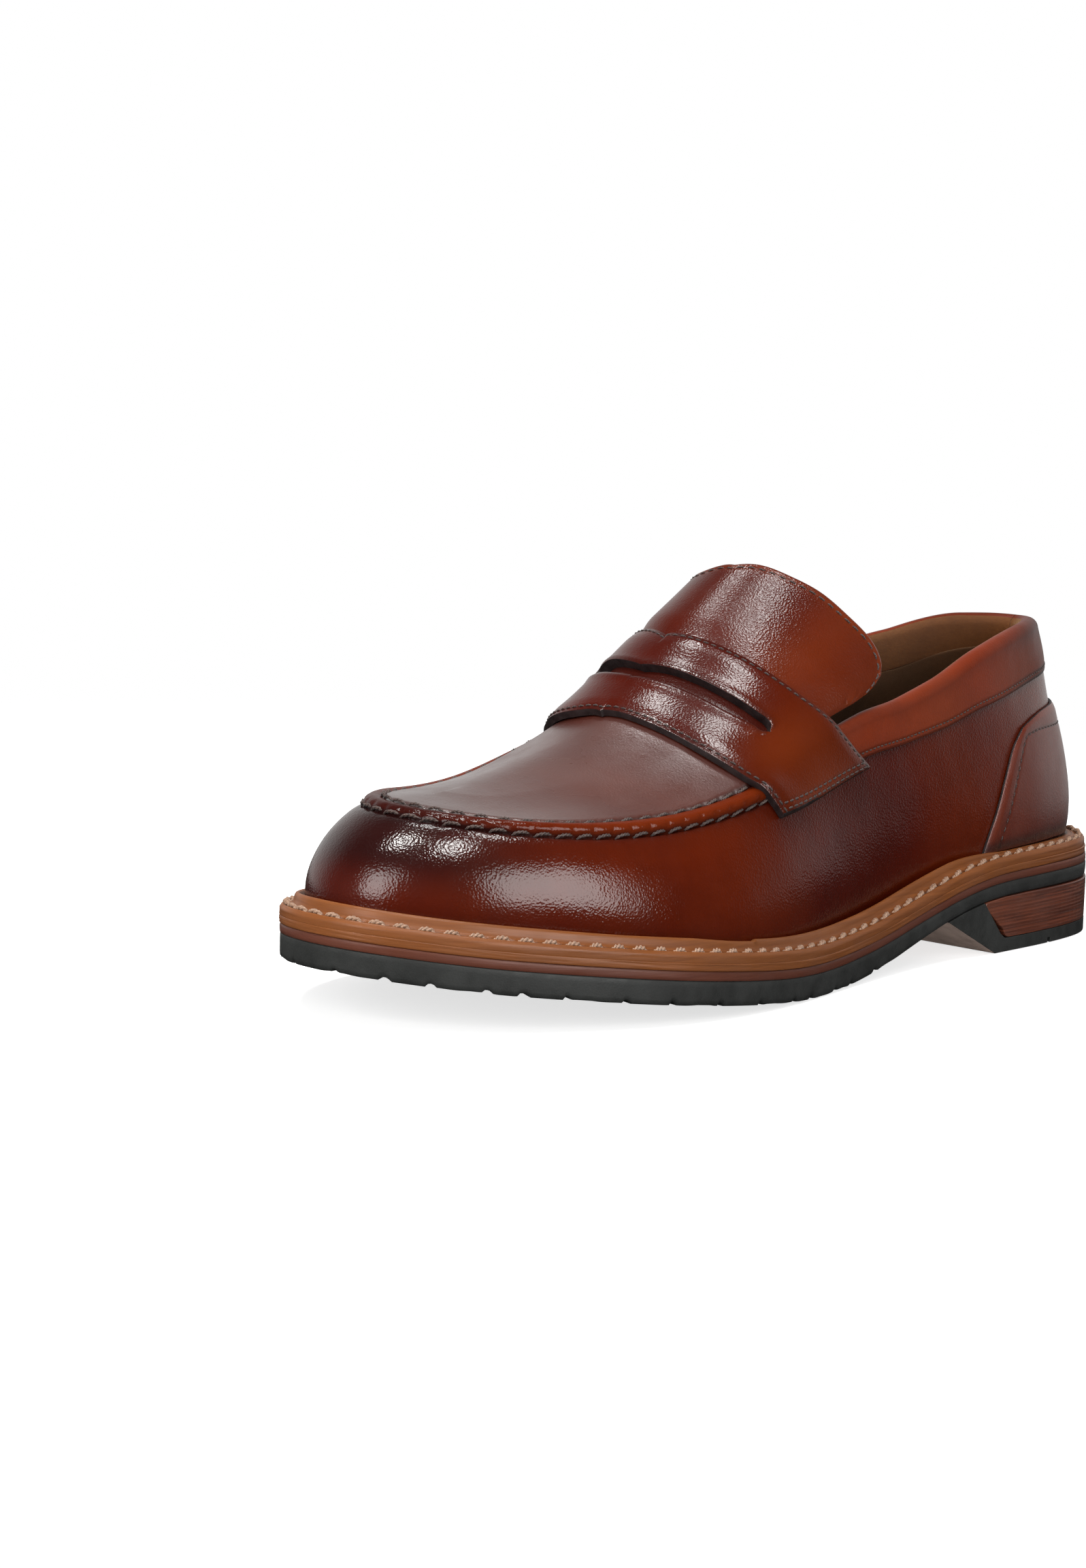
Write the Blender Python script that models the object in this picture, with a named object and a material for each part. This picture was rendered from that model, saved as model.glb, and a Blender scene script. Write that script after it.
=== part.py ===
"""A left penny loafer, built piece by piece in the order a shoemaker lays them up.

Everything is worked out in millimetres in the shoe's own terms: "along" runs from the back of
the heel (0) to the toe (302), "side" runs sideways with the outer side positive, and z is up from
the ground. Points are turned into metres at the end: the toe points to -Y, the outer side is +X.

The upper is drawn on a curved body surface with two coordinates. "station" counts ribs round the
shoe: 0 at the back of the heel, up the outer side, 14.35 at the toe, back along the inner side
to 29. "rise" climbs a rib: 0 at the welt, 1 at the topline or apron seam, 2 at the ridge.
"""
from collections import namedtuple

import bmesh
import bpy
import numpy as np
from mathutils import Vector
from mathutils.geometry import delaunay_2d_cdt

for old in list(bpy.data.objects):
    bpy.data.objects.remove(old, do_unlink=True)

# ---------------------------------------------------------------- driving dimensions, mm
GAP = 0.3             # left between neighbouring pieces
RED_MID = 2.4         # thin red-brown midsole
HONEY_MID = 2.2       # honey midsole under the welt
WELT = 3.0            # welt strip
LIP_H = 2.7           # raised inner lip of the welt
LIFT = 3.9            # rubber top lift under the heel
HEEL_TALL = 16.0      # top of the heel block
UPPER = 1.6           # upper leather
LINING = 0.9          # lining leather
LINING_DEPTH = 2.8    # the lining's outer face below the body surface
STIFFENER_DEPTH = 1.95  # outer face of the toe puff and heel counter below the body surface
STRAP_LOW = 0.5       # the strap's underside above the body surface
STRAP = 2.4           # strap thickness
FOXING = 1.5          # heel patch
BEAD = 1.1            # raised lip of the moccasin seam
INSOLE_BASE = 2.9     # insole board above the honey midsole
INSOLE = 2.2
SOCK = 1.2
TONGUE = 1.5
PUFF = 3.0            # most that the padded tongue stands proud
ROLL = 3.0            # radius of the collar's rolled rim
COLLAR = 1.1          # collar leather
COLLAR_PROUD = 0.25   # the collar's skin above the body surface
THREAD = 0.36         # thread radius
FINE_THREAD = 0.3     # radius on the strap, tongue and heel patch
COLLAR_THREAD = 0.25  # radius on the collar and back seam
THREAD_CLEAR = 0.42   # clear space under a thread
THREAD_LIFT = THREAD + THREAD_CLEAR
COLLAR_THREAD_LIFT = COLLAR_PROUD + 0.3 + THREAD_CLEAR
WELD = 0.02           # grid points closer than this share a vertex

# ---------------------------------------------------------------- looks
Look = namedtuple("Look", "color roughness metallic", defaults=(0.0,))
COGNAC = (0.16, 0.030, 0.014)
RUBBER = (0.022, 0.024, 0.023)
TAN = (0.36, 0.17, 0.06)

UPPER_LOOK = Look(COGNAC, roughness=0.25)
SOFT_LOOK = Look(COGNAC, roughness=0.3)
APRON_LOOK = Look((0.15, 0.040, 0.024), roughness=0.35)
OUTSOLE_LOOK = Look(RUBBER, roughness=0.75)
TOP_LIFT_LOOK = Look(RUBBER, roughness=0.8)
RED_LOOK = Look((0.20, 0.055, 0.035), roughness=0.5)
HONEY_LOOK = Look((0.42, 0.17, 0.05), roughness=0.45)
HEEL_LOOK = Look((0.13, 0.035, 0.018), roughness=0.45)
FILLER_LOOK = Look((0.30, 0.19, 0.10), roughness=0.9)
SHANK_LOOK = Look((0.35, 0.35, 0.36), roughness=0.35, metallic=1.0)
INSOLE_LOOK = Look((0.25, 0.15, 0.08), roughness=0.8)
SOCK_LOOK = Look(TAN, roughness=0.6)
TONGUE_LINING_LOOK = Look(TAN, roughness=0.7)
QUARTER_LINING_LOOK = Look(TAN, roughness=0.75)
VAMP_LINING_LOOK = Look(TAN, roughness=0.8)
PADDING_LOOK = Look((0.75, 0.72, 0.60), roughness=0.9)
STIFFENER_LOOK = Look((0.75, 0.74, 0.70), roughness=0.8)
YARN_LOOK = Look((0.05, 0.018, 0.012), roughness=0.7)
PALE_YARN_LOOK = Look((0.55, 0.36, 0.26), roughness=0.7)


# ---------------------------------------------------------------- maths
def spline(knots, values, periodic=False):
    """Cubic spline through values (scalars or vectors) at the knots, as a function of position.

    A periodic spline expects its last value to repeat its first.
    """
    knots = np.asarray(knots, float)
    values = np.asarray(values, float)
    scalar = values.ndim == 1
    if scalar:
        values = values[:, None]
    count = len(knots)
    gaps = np.diff(knots)
    size = count - 1 if periodic else count
    matrix = np.zeros((size, size)) if periodic else np.eye(size)
    right = np.zeros((size, values.shape[1]))
    slopes = np.diff(values, axis=0) / gaps[:, None]
    for i in range(size) if periodic else range(1, count - 1):
        matrix[i, (i - 1) % size] = gaps[i - 1]
        matrix[i, i] = 2 * (gaps[i - 1] + gaps[i])
        matrix[i, (i + 1) % size] = gaps[i]
        right[i] = 6 * (slopes[i] - slopes[i - 1])
    bends = np.linalg.solve(matrix, right)
    if periodic:
        bends = np.vstack([bends, bends[:1]])

    def at(where):
        where = np.asarray(where, float)
        if periodic:
            where = knots[0] + np.mod(where - knots[0], knots[-1] - knots[0])
        else:
            where = np.clip(where, knots[0], knots[-1])
        i = np.clip(np.searchsorted(knots, where, side="right") - 1, 0, count - 2)
        gap = knots[i + 1] - knots[i]
        before = ((knots[i + 1] - where) / gap)[..., None]
        after = ((where - knots[i]) / gap)[..., None]
        gap = gap[..., None]
        curve = (before ** 3 - before) * bends[i] + (after ** 3 - after) * bends[i + 1]
        result = before * values[i] + after * values[i + 1] + curve * gap * gap / 6
        return result[..., 0] if scalar else result
    return at


def polyline(points):
    """Straight lines through (position, value) points, as a function of position."""
    table = np.array(points, float)
    return lambda where: np.interp(where, table[:, 0], table[:, 1])


def unit(vector):
    return vector / np.maximum(np.linalg.norm(vector, axis=-1, keepdims=True), 1e-12)


def smooth(start, end, where):
    """Ease from 0 at start to 1 at end."""
    part = np.clip((np.asarray(where, float) - start) / (end - start), 0, 1)
    return part * part * (3 - 2 * part)


def bezier(part, start, pull_start, pull_end, end):
    rest = 1 - part
    return (rest ** 3 * start + 3 * part * rest ** 2 * pull_start
            + 3 * part * part * rest * pull_end + part ** 3 * end)


# ---------------------------------------------------------------- the sole's plan
# (along, side) points once round: heel, outer side, toe, inner side
OUTLINE = [
    (0, -1.0), (4.5, 14.5), (14, 24.5), (30, 30.5), (50, 34.2), (75, 36.6), (100, 38.2),
    (125, 41.2), (150, 46.2), (175, 51.8), (200, 55.2), (225, 54.4), (247, 49.2), (267, 40.8),
    (283, 30.4), (294, 18.5), (300.2, 6.5), (302, -5), (300.2, -15.5), (294, -27), (283, -37.5),
    (267, -46), (247, -51), (225, -52), (200, -49.4), (175, -43.5), (150, -37.6), (125, -34.4),
    (100, -33.8), (75, -34.8), (50, -34.6), (30, -31.6), (14, -25.5), (4.5, -15.8)]
closed_outline = np.array(OUTLINE + OUTLINE[:1], float)
outline_knots = np.r_[0, np.cumsum(np.linalg.norm(np.diff(closed_outline, axis=0), axis=1))]
# The sole's outline as a function of "turn", which goes from 0 to 1 once round.
outline_at = spline(outline_knots / outline_knots[-1], closed_outline, periodic=True)


def outward(turn):
    """Level direction pointing out of the outline."""
    tangent = unit(outline_at(turn + 1e-4) - outline_at(turn - 1e-4))
    return np.stack([-tangent[..., 1], tangent[..., 0], 0 * tangent[..., 0]], -1)


def edge(turn, inset):
    """A point of the sole's outline, moved in by inset mm."""
    turn = np.asarray(turn, float)
    return outline_at(turn) - outward(turn)[..., :2] * np.asarray(inset, float)[..., None]


def turns(count):
    return np.linspace(0, 1, count + 1)[:-1]


def around(count, inset):
    return edge(turns(count), inset)


# Height of the outsole's underside above the ground.
under = spline(
    [-20, 0, 56, 74, 88, 102, 114, 126, 140, 154, 168, 182, 198, 214, 230, 258, 285, 302, 314],
    [16.3, 16.3, 16.3, 15.4, 13.1, 9.6, 6.4, 3.5, 1.3, 0.25, 0.1, 0.75, 2.15, 3.75, 5.4, 8.4,
     11.4, 13.6, 15.0])


def rubber_top(along):
    return under(along) + (4.3 + 2.4 * smooth(75, 150, along))


def honey_top(along):
    return rubber_top(along) + RED_MID + HONEY_MID


def welt_top(along):
    return honey_top(along) + WELT


# ---------------------------------------------------------------- the last's ribs
# Each rib runs from the feather edge (where the upper meets the welt) over the shoulder to the
# ridge. A station a fraction of the way round is read between the rows. Columns: feather edge
# along and side; top edge along, side and z; ridge along (OPEN where the shoe is open); then
# lean from the vertical at the foot, foot handle, angle from the horizontal at the top,
# top handle, dome handle at the top edge, dome handle at the ridge. Angles in degrees.
OPEN = np.nan
STATIONS = np.array([
    (6.5,   -1.0,  12.5,  -1.0,  91.8,  OPEN,  12,  28,  99,  22,   8,   8),
    (15.5,  19.5,  21.5,  12.6,  91.8,  OPEN,  13,  28, 103,  24,   8,   8),
    (34.0,  26.5,  42.0,  20.8,  90.7,  OPEN,   9,  27, 103,  20,   8,   8),
    (62.0,  30.0,  66.0,  27.0,  87.2,  OPEN,   8,  24, 101,  18,   8,   8),
    (90.0,  32.0,  95.0,  31.0,  80.6, 134.0,   8,  22,  98,  16,  22,  22),
    (116.0, 34.5, 122.0,  33.2,  74.6, 146.0,  10,  20,  93,  14,  19,  21),
    (140.0, 38.5, 144.0,  34.2,  69.4, 165.0,  12,  18,  84,  12,  15,  20),
    (162.0, 42.5, 166.0,  35.6,  62.5, 178.5,  13,  16,  66,  11,  12,  18),
    (184.0, 47.0, 187.0,  37.0,  56.4, 194.5,  14,  15,  46,   9,  10,  16),
    (205.0, 48.2, 208.0,  36.4,  52.2, 212.0,  15,  14,  32,   8,   9,  14),
    (226.0, 47.0, 228.0,  34.0,  50.5, 229.0,  15,  13,  26,   8,   9,  11),
    (246.0, 42.2, 247.0,  29.6,  50.6, 243.0,  15,  13,  22,   8,   8,   9),
    (264.0, 35.4, 262.0,  22.6,  51.4, 252.0,  14,  13,  20,   8,   7,   7),
    (280.0, 24.4, 272.0,  12.8,  52.5, 257.0,  13,  13,  18,   8,   6,   6),
    (292.5,   6.0, 276.6,   1.0,  53.3, 259.5,  12,  13,  17,   8,   5,   5),
    (292.8, -13.5, 275.8, -10.5,  53.5, 259.0,  12,  13,  17,   8,   5,   5),
    (281.0, -30.0, 268.0, -20.5,  53.2, 256.0,  13,  13,  18,   8,   6,   6),
    (265.0, -39.0, 254.5, -27.6,  52.4, 249.0,  14,  13,  20,   8,   7,   7),
    (246.0, -43.8, 239.0, -31.4,  52.0, 240.0,  15,  13,  24,   8,   8,   8),
    (225.0, -45.0, 221.5, -33.0,  53.6, 227.0,  15,  14,  28,   8,   8,   9),
    (203.0, -42.5, 204.0, -32.6,  58.4, 212.5,  14,  16,  34,   9,   8,  10),
    (181.0, -37.5, 186.0, -31.8,  64.4, 194.0,  13,  18,  50,  10,  10,  11),
    (159.0, -32.5, 166.0, -32.0,  69.4, 178.5,  13,  19,  74,  12,  15,  15),
    (137.0, -29.0, 145.0, -33.0,  72.8, 165.0,  12,  20,  88,  13,  19,  19),
    (112.0, -27.8, 122.0, -33.0,  76.4, 146.0,  11,  21,  95,  14,  24,  22),
    (88.0,  -28.0,  96.0, -31.0,  81.0, 134.0,  10,  22,  98,  16,  26,  22),
    (60.0,  -28.6,  66.0, -27.0,  87.2,  OPEN,   8,  24, 100,  18,   8,   8),
    (33.0,  -26.0,  42.0, -22.4,  90.7,  OPEN,   9,  27, 102,  20,   8,   8),
    (15.0,  -19.5,  21.5, -14.2,  91.8,  OPEN,  12,  28, 102,  22,   8,   8),
], float)
STATION_COUNT = len(STATIONS)
FIRST_RIDGE, LAST_RIDGE = 4, 25     # the stations whose ribs reach the ridge
TOE_STATION = 14.35                 # where the outer side turns into the inner side
RIDGE_SIDE = -7.0
# Height of the ridge along the shoe.
ridge = spline(
    [118, 128, 139, 148, 157, 165.5, 178, 190, 210, 230, 245, 262, 275],
    [123.5, 117.8, 110.8, 104.6, 98.2, 92.0, 82.2, 73.6, 64.8, 59.6, 57.0, 55.6, 55.4])


def station_turns():
    """Where each station's feather point falls on the outline, always further round."""
    fine = turns(2000)
    points = edge(fine, 6.5)
    found, last = [], -0.01
    for i, row in enumerate(STATIONS):
        distance = np.hypot(points[:, 0] - row[0], points[:, 1] - row[1])
        distance[fine < last + 0.004] = 1e9
        if i == 0:
            distance = np.where(fine < 0.02, distance, 1e9)
        last = fine[np.argmin(distance)]
        found.append(last)
    found[0] = 0.0
    return np.array(found)


station_knots = np.arange(STATION_COUNT + 1, dtype=float)
turn_of = spline(station_knots, np.r_[station_turns(), 1.0])
rib_columns = [spline(station_knots, np.r_[STATIONS[:, i], STATIONS[:1, i]], periodic=True)
               for i in (2, 3, 4, 6, 7, 8, 9, 10, 11)]
# How far along the shoe a station's rib meets the ridge.
ridge_along = spline(station_knots[FIRST_RIDGE:LAST_RIDGE + 1],
                     STATIONS[FIRST_RIDGE:LAST_RIDGE + 1, 5])


def feather(turn):
    """The edge where the upper meets the welt."""
    along = outline_at(turn)[..., 0]
    point = edge(turn, 6.9 - 0.8 * smooth(110, 60, along))
    return np.concatenate([point, (welt_top(along) - 0.6)[..., None]], -1)


def rib(station):
    """Control points of the wall curve and the dome curve, which share the top edge."""
    (top_along, top_side, top_z, lean, foot_pull, top_angle, top_pull, dome_pull,
     ridge_pull) = (column(station) for column in rib_columns)
    wrapped = np.mod(station, STATION_COUNT)
    turn = turn_of(wrapped)
    foot = feather(turn)
    top = np.stack([top_along, top_side, top_z], -1)
    out = outward(turn)
    peak_along = ridge_along(np.clip(wrapped, FIRST_RIDGE, LAST_RIDGE))
    peak = np.stack([peak_along, np.full_like(peak_along, RIDGE_SIDE), ridge(peak_along)], -1)

    # Ribs head for the ridge where there is one, and straight inwards round the heel.
    to_peak = peak - top
    to_peak[..., 2] = 0
    to_peak = unit(to_peak)
    closed = (smooth(FIRST_RIDGE - 1.6, FIRST_RIDGE + 0.6, wrapped)
              * (1 - smooth(LAST_RIDGE - 0.6, LAST_RIDGE + 1.6, wrapped)))[..., None]
    inward = unit(to_peak * closed - out * (1 - closed))

    lean = np.radians(lean)[..., None]
    top_angle = np.radians(top_angle)[..., None]
    up = np.array([0, 0, 1.0])
    foot_handle = foot + foot_pull[..., None] * (up * np.cos(lean) + out * np.sin(lean))
    climb = inward * np.cos(top_angle) + up * np.sin(top_angle)
    top_handle = top - top_pull[..., None] * climb
    dome_handle = top + dome_pull[..., None] * climb
    slope = (ridge(peak_along + 0.5) - ridge(peak_along - 0.5))[..., None]
    level = peak[..., :2] - top[..., :2]
    arrival = unit(np.concatenate([level, slope * level[..., :1]], -1))
    peak_handle = peak - ridge_pull[..., None] * arrival
    return foot, foot_handle, top_handle, top, dome_handle, peak_handle, peak


# How far the back of the heel sits inside the plain ribs, against z.
heel_inset = spline([0, 27.6, 40, 48, 56, 64, 71, 76, 82, 86, 91.8, 130],
                    [0.8, 0.8, 1.4, 1.6, 1.25, 0.7, 0.15, 0.0, 0.7, 1.7, 3.4, 3.4])
HEEL_CENTRE = 38.0    # along; the heel is drawn in towards this line


def settle(point):
    """Draw in the back of the heel and dip the topline, the inner side more than the outer."""
    along, side, z = point[..., 0], point[..., 1], point[..., 2]
    pull = (1 - smooth(18, 50, along)) * heel_inset(z)
    to_centre, to_middle = HEEL_CENTRE - along, -side
    radius = np.maximum(np.hypot(to_centre, to_middle), 1e-6)
    dip = (3.1 * smooth(27, 54, along) * (1 - smooth(75, 125, along))
           * smooth(0, 10, -side) * smooth(45, 85, z))
    dip = dip + (1.4 * smooth(72, 95, along) * (1 - smooth(112, 132, along))
                 * smooth(6, 18, side) * smooth(50, 74, z))
    return point + np.stack([to_centre / radius * pull, to_middle / radius * pull, -dip], -1)


def body(station, rise):
    """The outer surface of the lasted upper."""
    station, rise = np.broadcast_arrays(np.asarray(station, float), np.asarray(rise, float))
    foot, foot_handle, top_handle, top, dome_handle, peak_handle, peak = rib(station)
    rise = rise[..., None]
    wall = bezier(np.clip(rise, None, 1), foot, foot_handle, top_handle, top)
    dome = bezier(np.clip(rise - 1, 0, 1), top, dome_handle, peak_handle, peak)
    return settle(np.where(rise <= 1, wall, dome))


def body_normal(station, rise):
    step = 0.01
    station, rise = np.broadcast_arrays(np.asarray(station, float), np.asarray(rise, float))
    rise = np.clip(rise, 0.0, 1.985)
    sideways = body(station + step * 3, rise) - body(station - step * 3, rise)
    upwards = body(station, rise + step) - body(station, np.maximum(rise - step, -0.2))
    return unit(np.cross(upwards, sideways))


def skin(station, rise, height):
    """Points height mm outside the body surface."""
    normal = body_normal(station, rise)
    return body(station, rise) + normal * np.asarray(height, float)[..., None]


# ---------------------------------------------------------------- lines drawn on the body surface
outer_stations = np.linspace(FIRST_RIDGE, TOE_STATION, 600)
inner_stations = np.linspace(TOE_STATION, LAST_RIDGE, 600)
outer_reach = np.maximum.accumulate(ridge_along(outer_stations))
inner_reach = np.maximum.accumulate(-ridge_along(inner_stations))
RIDGE_END = float(ridge_along(TOE_STATION))


def outer_station(along):
    """The outer side's station whose rib meets the ridge there."""
    return np.interp(along, outer_reach, outer_stations)


def inner_station(along):
    return np.interp(-np.asarray(along, float), inner_reach, inner_stations)


# (rise, station) of the strap's edges and its slot's edges; "rear" is towards the heel
strap_rear_out = polyline([
    (0.60, 5.40), (0.70, 5.56), (0.80, 5.78), (1.0, 6.11), (1.12, 6.27), (1.25, 6.40),
    (1.4, 6.46), (1.6, 6.44), (1.8, 6.33), (2.0, 6.12)])
strap_front_out = polyline([
    (0.60, 7.54), (0.74, 7.66), (0.86, 7.78), (1.0, 7.91), (1.15, 8.00), (1.35, 8.06),
    (1.6, 8.07), (1.8, 8.05), (2.0, 7.97)])
strap_rear_in = polyline([
    (0.60, 23.45), (0.75, 23.2), (1.0, 22.85), (1.25, 22.62), (1.5, 22.56), (1.75, 22.62),
    (2.0, 22.80)])
strap_front_in = polyline([
    (0.60, 21.25), (0.75, 21.10), (1.0, 20.90), (1.25, 20.76), (1.5, 20.74), (1.75, 20.80),
    (2.0, 20.97)])
slot_rear_out = polyline([
    (1.25, 7.16), (1.32, 7.11), (1.41, 7.10), (1.57, 7.09), (1.73, 7.05), (1.90, 6.98),
    (2.0, 6.94)])
slot_front_out = polyline([
    (1.25, 7.18), (1.32, 7.32), (1.41, 7.40), (1.57, 7.44), (1.73, 7.43), (1.90, 7.38),
    (2.0, 7.33)])
slot_rear_in = polyline([
    (1.30, 21.76), (1.40, 21.84), (1.55, 21.86), (1.7, 21.88), (1.85, 21.93), (2.0, 22.04)])
slot_front_in = polyline([
    (1.30, 21.74), (1.40, 21.56), (1.55, 21.50), (1.7, 21.51), (1.85, 21.57), (2.0, 21.69)])
# (rise, station) of the tongue's free edge on the outer side
tongue_edge_out = polyline([
    (1.085, 6.30), (1.09, 5.80), (1.11, 5.32), (1.15, 5.08), (1.20, 4.97), (1.27, 4.93),
    (1.45, 4.96), (1.6, 4.93), (1.75, 4.89), (1.9, 4.77), (2.0, 4.70)])
# (rise, extra stations): the inner shoulder of the tongue is cut rounder than the outer
tongue_inner_cut = polyline([
    (1.0, 0), (1.2, 0), (1.3, 0.08), (1.45, 0.20), (1.6, 0.33), (1.7, 0.36), (1.8, 0.34),
    (1.9, 0.23), (2.0, 0)])
# (station, rise) of the collar's lower edge
collar_rise = polyline([
    (0.0, 0.80), (1.2, 0.765), (2.4, 0.715), (3.4, 0.715), (4.4, 0.745), (5.4, 0.765),
    (6.6, 0.77), (22.4, 0.77), (23.6, 0.765), (24.6, 0.745), (25.6, 0.715), (26.6, 0.715),
    (27.8, 0.765), (29.0, 0.80)])
# (rise, station) of the heel patch's edge and of its stitching
foxing_edge = polyline([
    (0.0, 3.36), (0.07, 3.30), (0.17, 3.16), (0.31, 2.96), (0.39, 2.84), (0.47, 2.66),
    (0.52, 2.42), (0.56, 1.90), (0.595, 1.2)])
foxing_stitch_edge = polyline([
    (0.05, 3.05), (0.17, 2.88), (0.26, 2.74), (0.34, 2.58), (0.40, 2.40), (0.43, 2.14),
    (0.49, 1.30), (0.51, 0.9)])
# (station, rise) of the stitch rows on the vamp side and the apron side of the moccasin seam
seam_low = polyline([
    (7, 0.84), (9, 0.84), (11, 0.835), (12.5, 0.865), (14, 0.89), (15, 0.905), (16, 0.89),
    (17.5, 0.865), (19, 0.84), (22, 0.84)])
seam_high = polyline([
    (7, 0.985), (8.6, 1.01), (10, 1.03), (11.5, 1.04), (13, 1.12), (14, 1.16), (15, 1.2),
    (16, 1.16), (17.5, 1.05), (19, 1.03), (22, 1.0)])

# The world origin lies on the ground under the middle of the sole's outline.
fine_outline = outline_at(np.linspace(0, 1, 4001))
MIDDLE_ALONG, MIDDLE_SIDE = ((fine_outline.max(0) + fine_outline.min(0)) / 2).tolist()


def to_world(points):
    """(along, side, z) in mm to metres."""
    points = np.asarray(points, float)
    return np.stack([points[..., 1] - MIDDLE_SIDE, MIDDLE_ALONG - points[..., 0],
                     points[..., 2]], -1) * 0.001


# ---------------------------------------------------------------- Blender helpers
home = bpy.data.collections.new("penny_loafer")
tools = bpy.data.collections.new("penny_loafer_cutters")
bpy.context.scene.collection.children.link(home)
bpy.context.scene.collection.children.link(tools)


def material(name, look):
    result = bpy.data.materials.new(name)
    result.use_nodes = True
    inputs = result.node_tree.nodes["Principled BSDF"].inputs
    inputs["Base Color"].default_value = (*look.color, 1)
    inputs["Roughness"].default_value = look.roughness
    inputs["Metallic"].default_value = look.metallic
    result.diffuse_color = (*look.color, 1)
    return result


def mesh_from(name, points, faces):
    mesh = bpy.data.meshes.new(name)
    mesh.from_pydata([tuple(point) for point in to_world(points)], [], faces)
    return mesh


def add_piece(name, mesh, look, smooth_shade=True):
    """Weld, triangulate, point the faces outwards and put the object in the collection."""
    edit = bmesh.new()
    edit.from_mesh(mesh)
    bmesh.ops.remove_doubles(edit, verts=edit.verts, dist=0.000001)
    bmesh.ops.dissolve_degenerate(edit, edges=edit.edges, dist=0.0000005)
    loose = [vertex for vertex in edit.verts if not vertex.link_faces]
    bmesh.ops.delete(edit, geom=loose, context="VERTS")
    bmesh.ops.triangulate(edit, faces=edit.faces)
    if edit.calc_volume(signed=True) < 0:
        bmesh.ops.reverse_faces(edit, faces=edit.faces)
    edit.to_mesh(mesh)
    edit.free()
    mesh.name = name
    piece = bpy.data.objects.new(name, mesh)
    home.objects.link(piece)
    mesh.materials.clear()
    mesh.materials.append(material(name, look))
    if smooth_shade:
        for polygon in mesh.polygons:
            polygon.use_smooth = True
    return piece


def face_outwards(mesh):
    edit = bmesh.new()
    edit.from_mesh(mesh)
    bmesh.ops.recalc_face_normals(edit, faces=edit.faces)
    edit.to_mesh(mesh)
    edit.free()


def border_edges(faces):
    """The directed edges that only one face uses."""
    uses = {}
    for face in faces:
        for start, end in zip(face, face[1:] + face[:1]):
            uses.setdefault((min(start, end), max(start, end)), []).append((start, end))
    return [pairs[0] for pairs in uses.values() if len(pairs) == 1]


def thicken(name, outer, inner, look, keep=None):
    """Two matching grids of points become one closed solid. keep[i, j] says which cells exist."""
    rows, columns = outer.shape[:2]
    flat = outer.reshape(-1, 3)
    count = len(flat)
    first_at = {}
    shared = [first_at.setdefault(tuple(np.round(point / WELD).astype(int)), i)
              for i, point in enumerate(flat)]
    shared = np.array(shared).reshape(rows, columns)
    front = []
    for i in range(rows - 1):
        for j in range(columns - 1):
            if keep is not None and not keep[i, j]:
                continue
            cell = [shared[i, j], shared[i + 1, j], shared[i + 1, j + 1], shared[i, j + 1]]
            cell = [int(v) for k, v in enumerate(cell) if v != cell[k - 1]]
            if len(set(cell)) >= 3:
                front.append(cell)
    faces = front + [[v + count for v in reversed(face)] for face in front]
    faces += [[end, start, start + count, end + count] for start, end in border_edges(front)]
    add_piece(name, mesh_from(name, np.vstack([flat, inner.reshape(-1, 3)]), faces), look)


def panel(name, station, rise, outer, inner, look, keep=None):
    """A sheet between two heights above the body surface."""
    thicken(name, skin(station, rise, outer), skin(station, rise, inner), look, keep)


def over_ridge(ridge_points, low_rise, count):
    """Grid of stations and rises up the outer side, over the ridge and down the inner side.

    Each row crosses the ridge at one of ridge_points; the last row folds back at the toe.
    low_rise gives the lower edge at a station.
    """
    stations, rises = [], []
    for out, inn in zip(np.r_[outer_station(ridge_points), TOE_STATION],
                        np.r_[inner_station(ridge_points), TOE_STATION]):
        stations.append(np.r_[np.full(count, out), np.full(count - 1, inn)])
        rises.append(np.r_[np.linspace(low_rise(out), 2, count),
                           np.linspace(low_rise(inn), 2, count)[-2::-1]])
    return np.array(stations), np.array(rises)


def inside_points(outline, pitch):
    """Points spread in rows across a plan outline."""
    points = []
    for along in np.arange(outline[:, 0].min() + pitch * 0.7, outline[:, 0].max(), pitch):
        hits = []
        for start, end in zip(outline, np.roll(outline, -1, axis=0)):
            if (start[0] - along) * (end[0] - along) < 0:
                slope_run = (end[1] - start[1]) * (along - start[0])
                hits.append(start[1] + slope_run / (end[0] - start[0]))
        if len(hits) >= 2:
            low, high = min(hits), max(hits)
            count = max(0, int((high - low) // 22))
            for j in range(count):
                points.append((along, low + (high - low) * (j + 1) / (count + 1)))
    return points


def slab(name, outline, low, high, look, pitch=14.0):
    """A sheet with a plan outline and its own underside and top heights."""
    points = [Vector((float(along), float(side)))
              for along, side in list(outline) + inside_points(outline, pitch)]
    result = delaunay_2d_cdt(points, [], [list(range(len(outline)))], 1, 1e-5)
    plan = np.array([[point.x, point.y] for point in result[0]])
    triangles = [list(face) for face in result[2]]
    bottom = np.column_stack([plan, low(plan[:, 0])])
    top = np.column_stack([plan, high(plan[:, 0])])
    count = len(plan)
    faces = [[v + count for v in face] for face in triangles]
    faces += [list(reversed(face)) for face in triangles]
    faces += [[start, end, end + count, start + count] for start, end in border_edges(triangles)]
    add_piece(name, mesh_from(name, np.vstack([bottom, top]), faces), look)


def ring(name, profile, count, look):
    """A closed strip round the sole's outline. profile(turn) gives its (inset, z) corners."""
    points = np.array([[np.r_[edge(turn, inset), z] for inset, z in profile(turn)]
                       for turn in turns(count)])
    corners = points.shape[1]
    faces = []
    for i in range(count):
        here, ahead = i * corners, (i + 1) % count * corners
        for j in range(corners):
            after = (j + 1) % corners
            faces.append([here + j, ahead + j, ahead + after, here + after])
    add_piece(name, mesh_from(name, points.reshape(-1, 3), faces), look)


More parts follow.
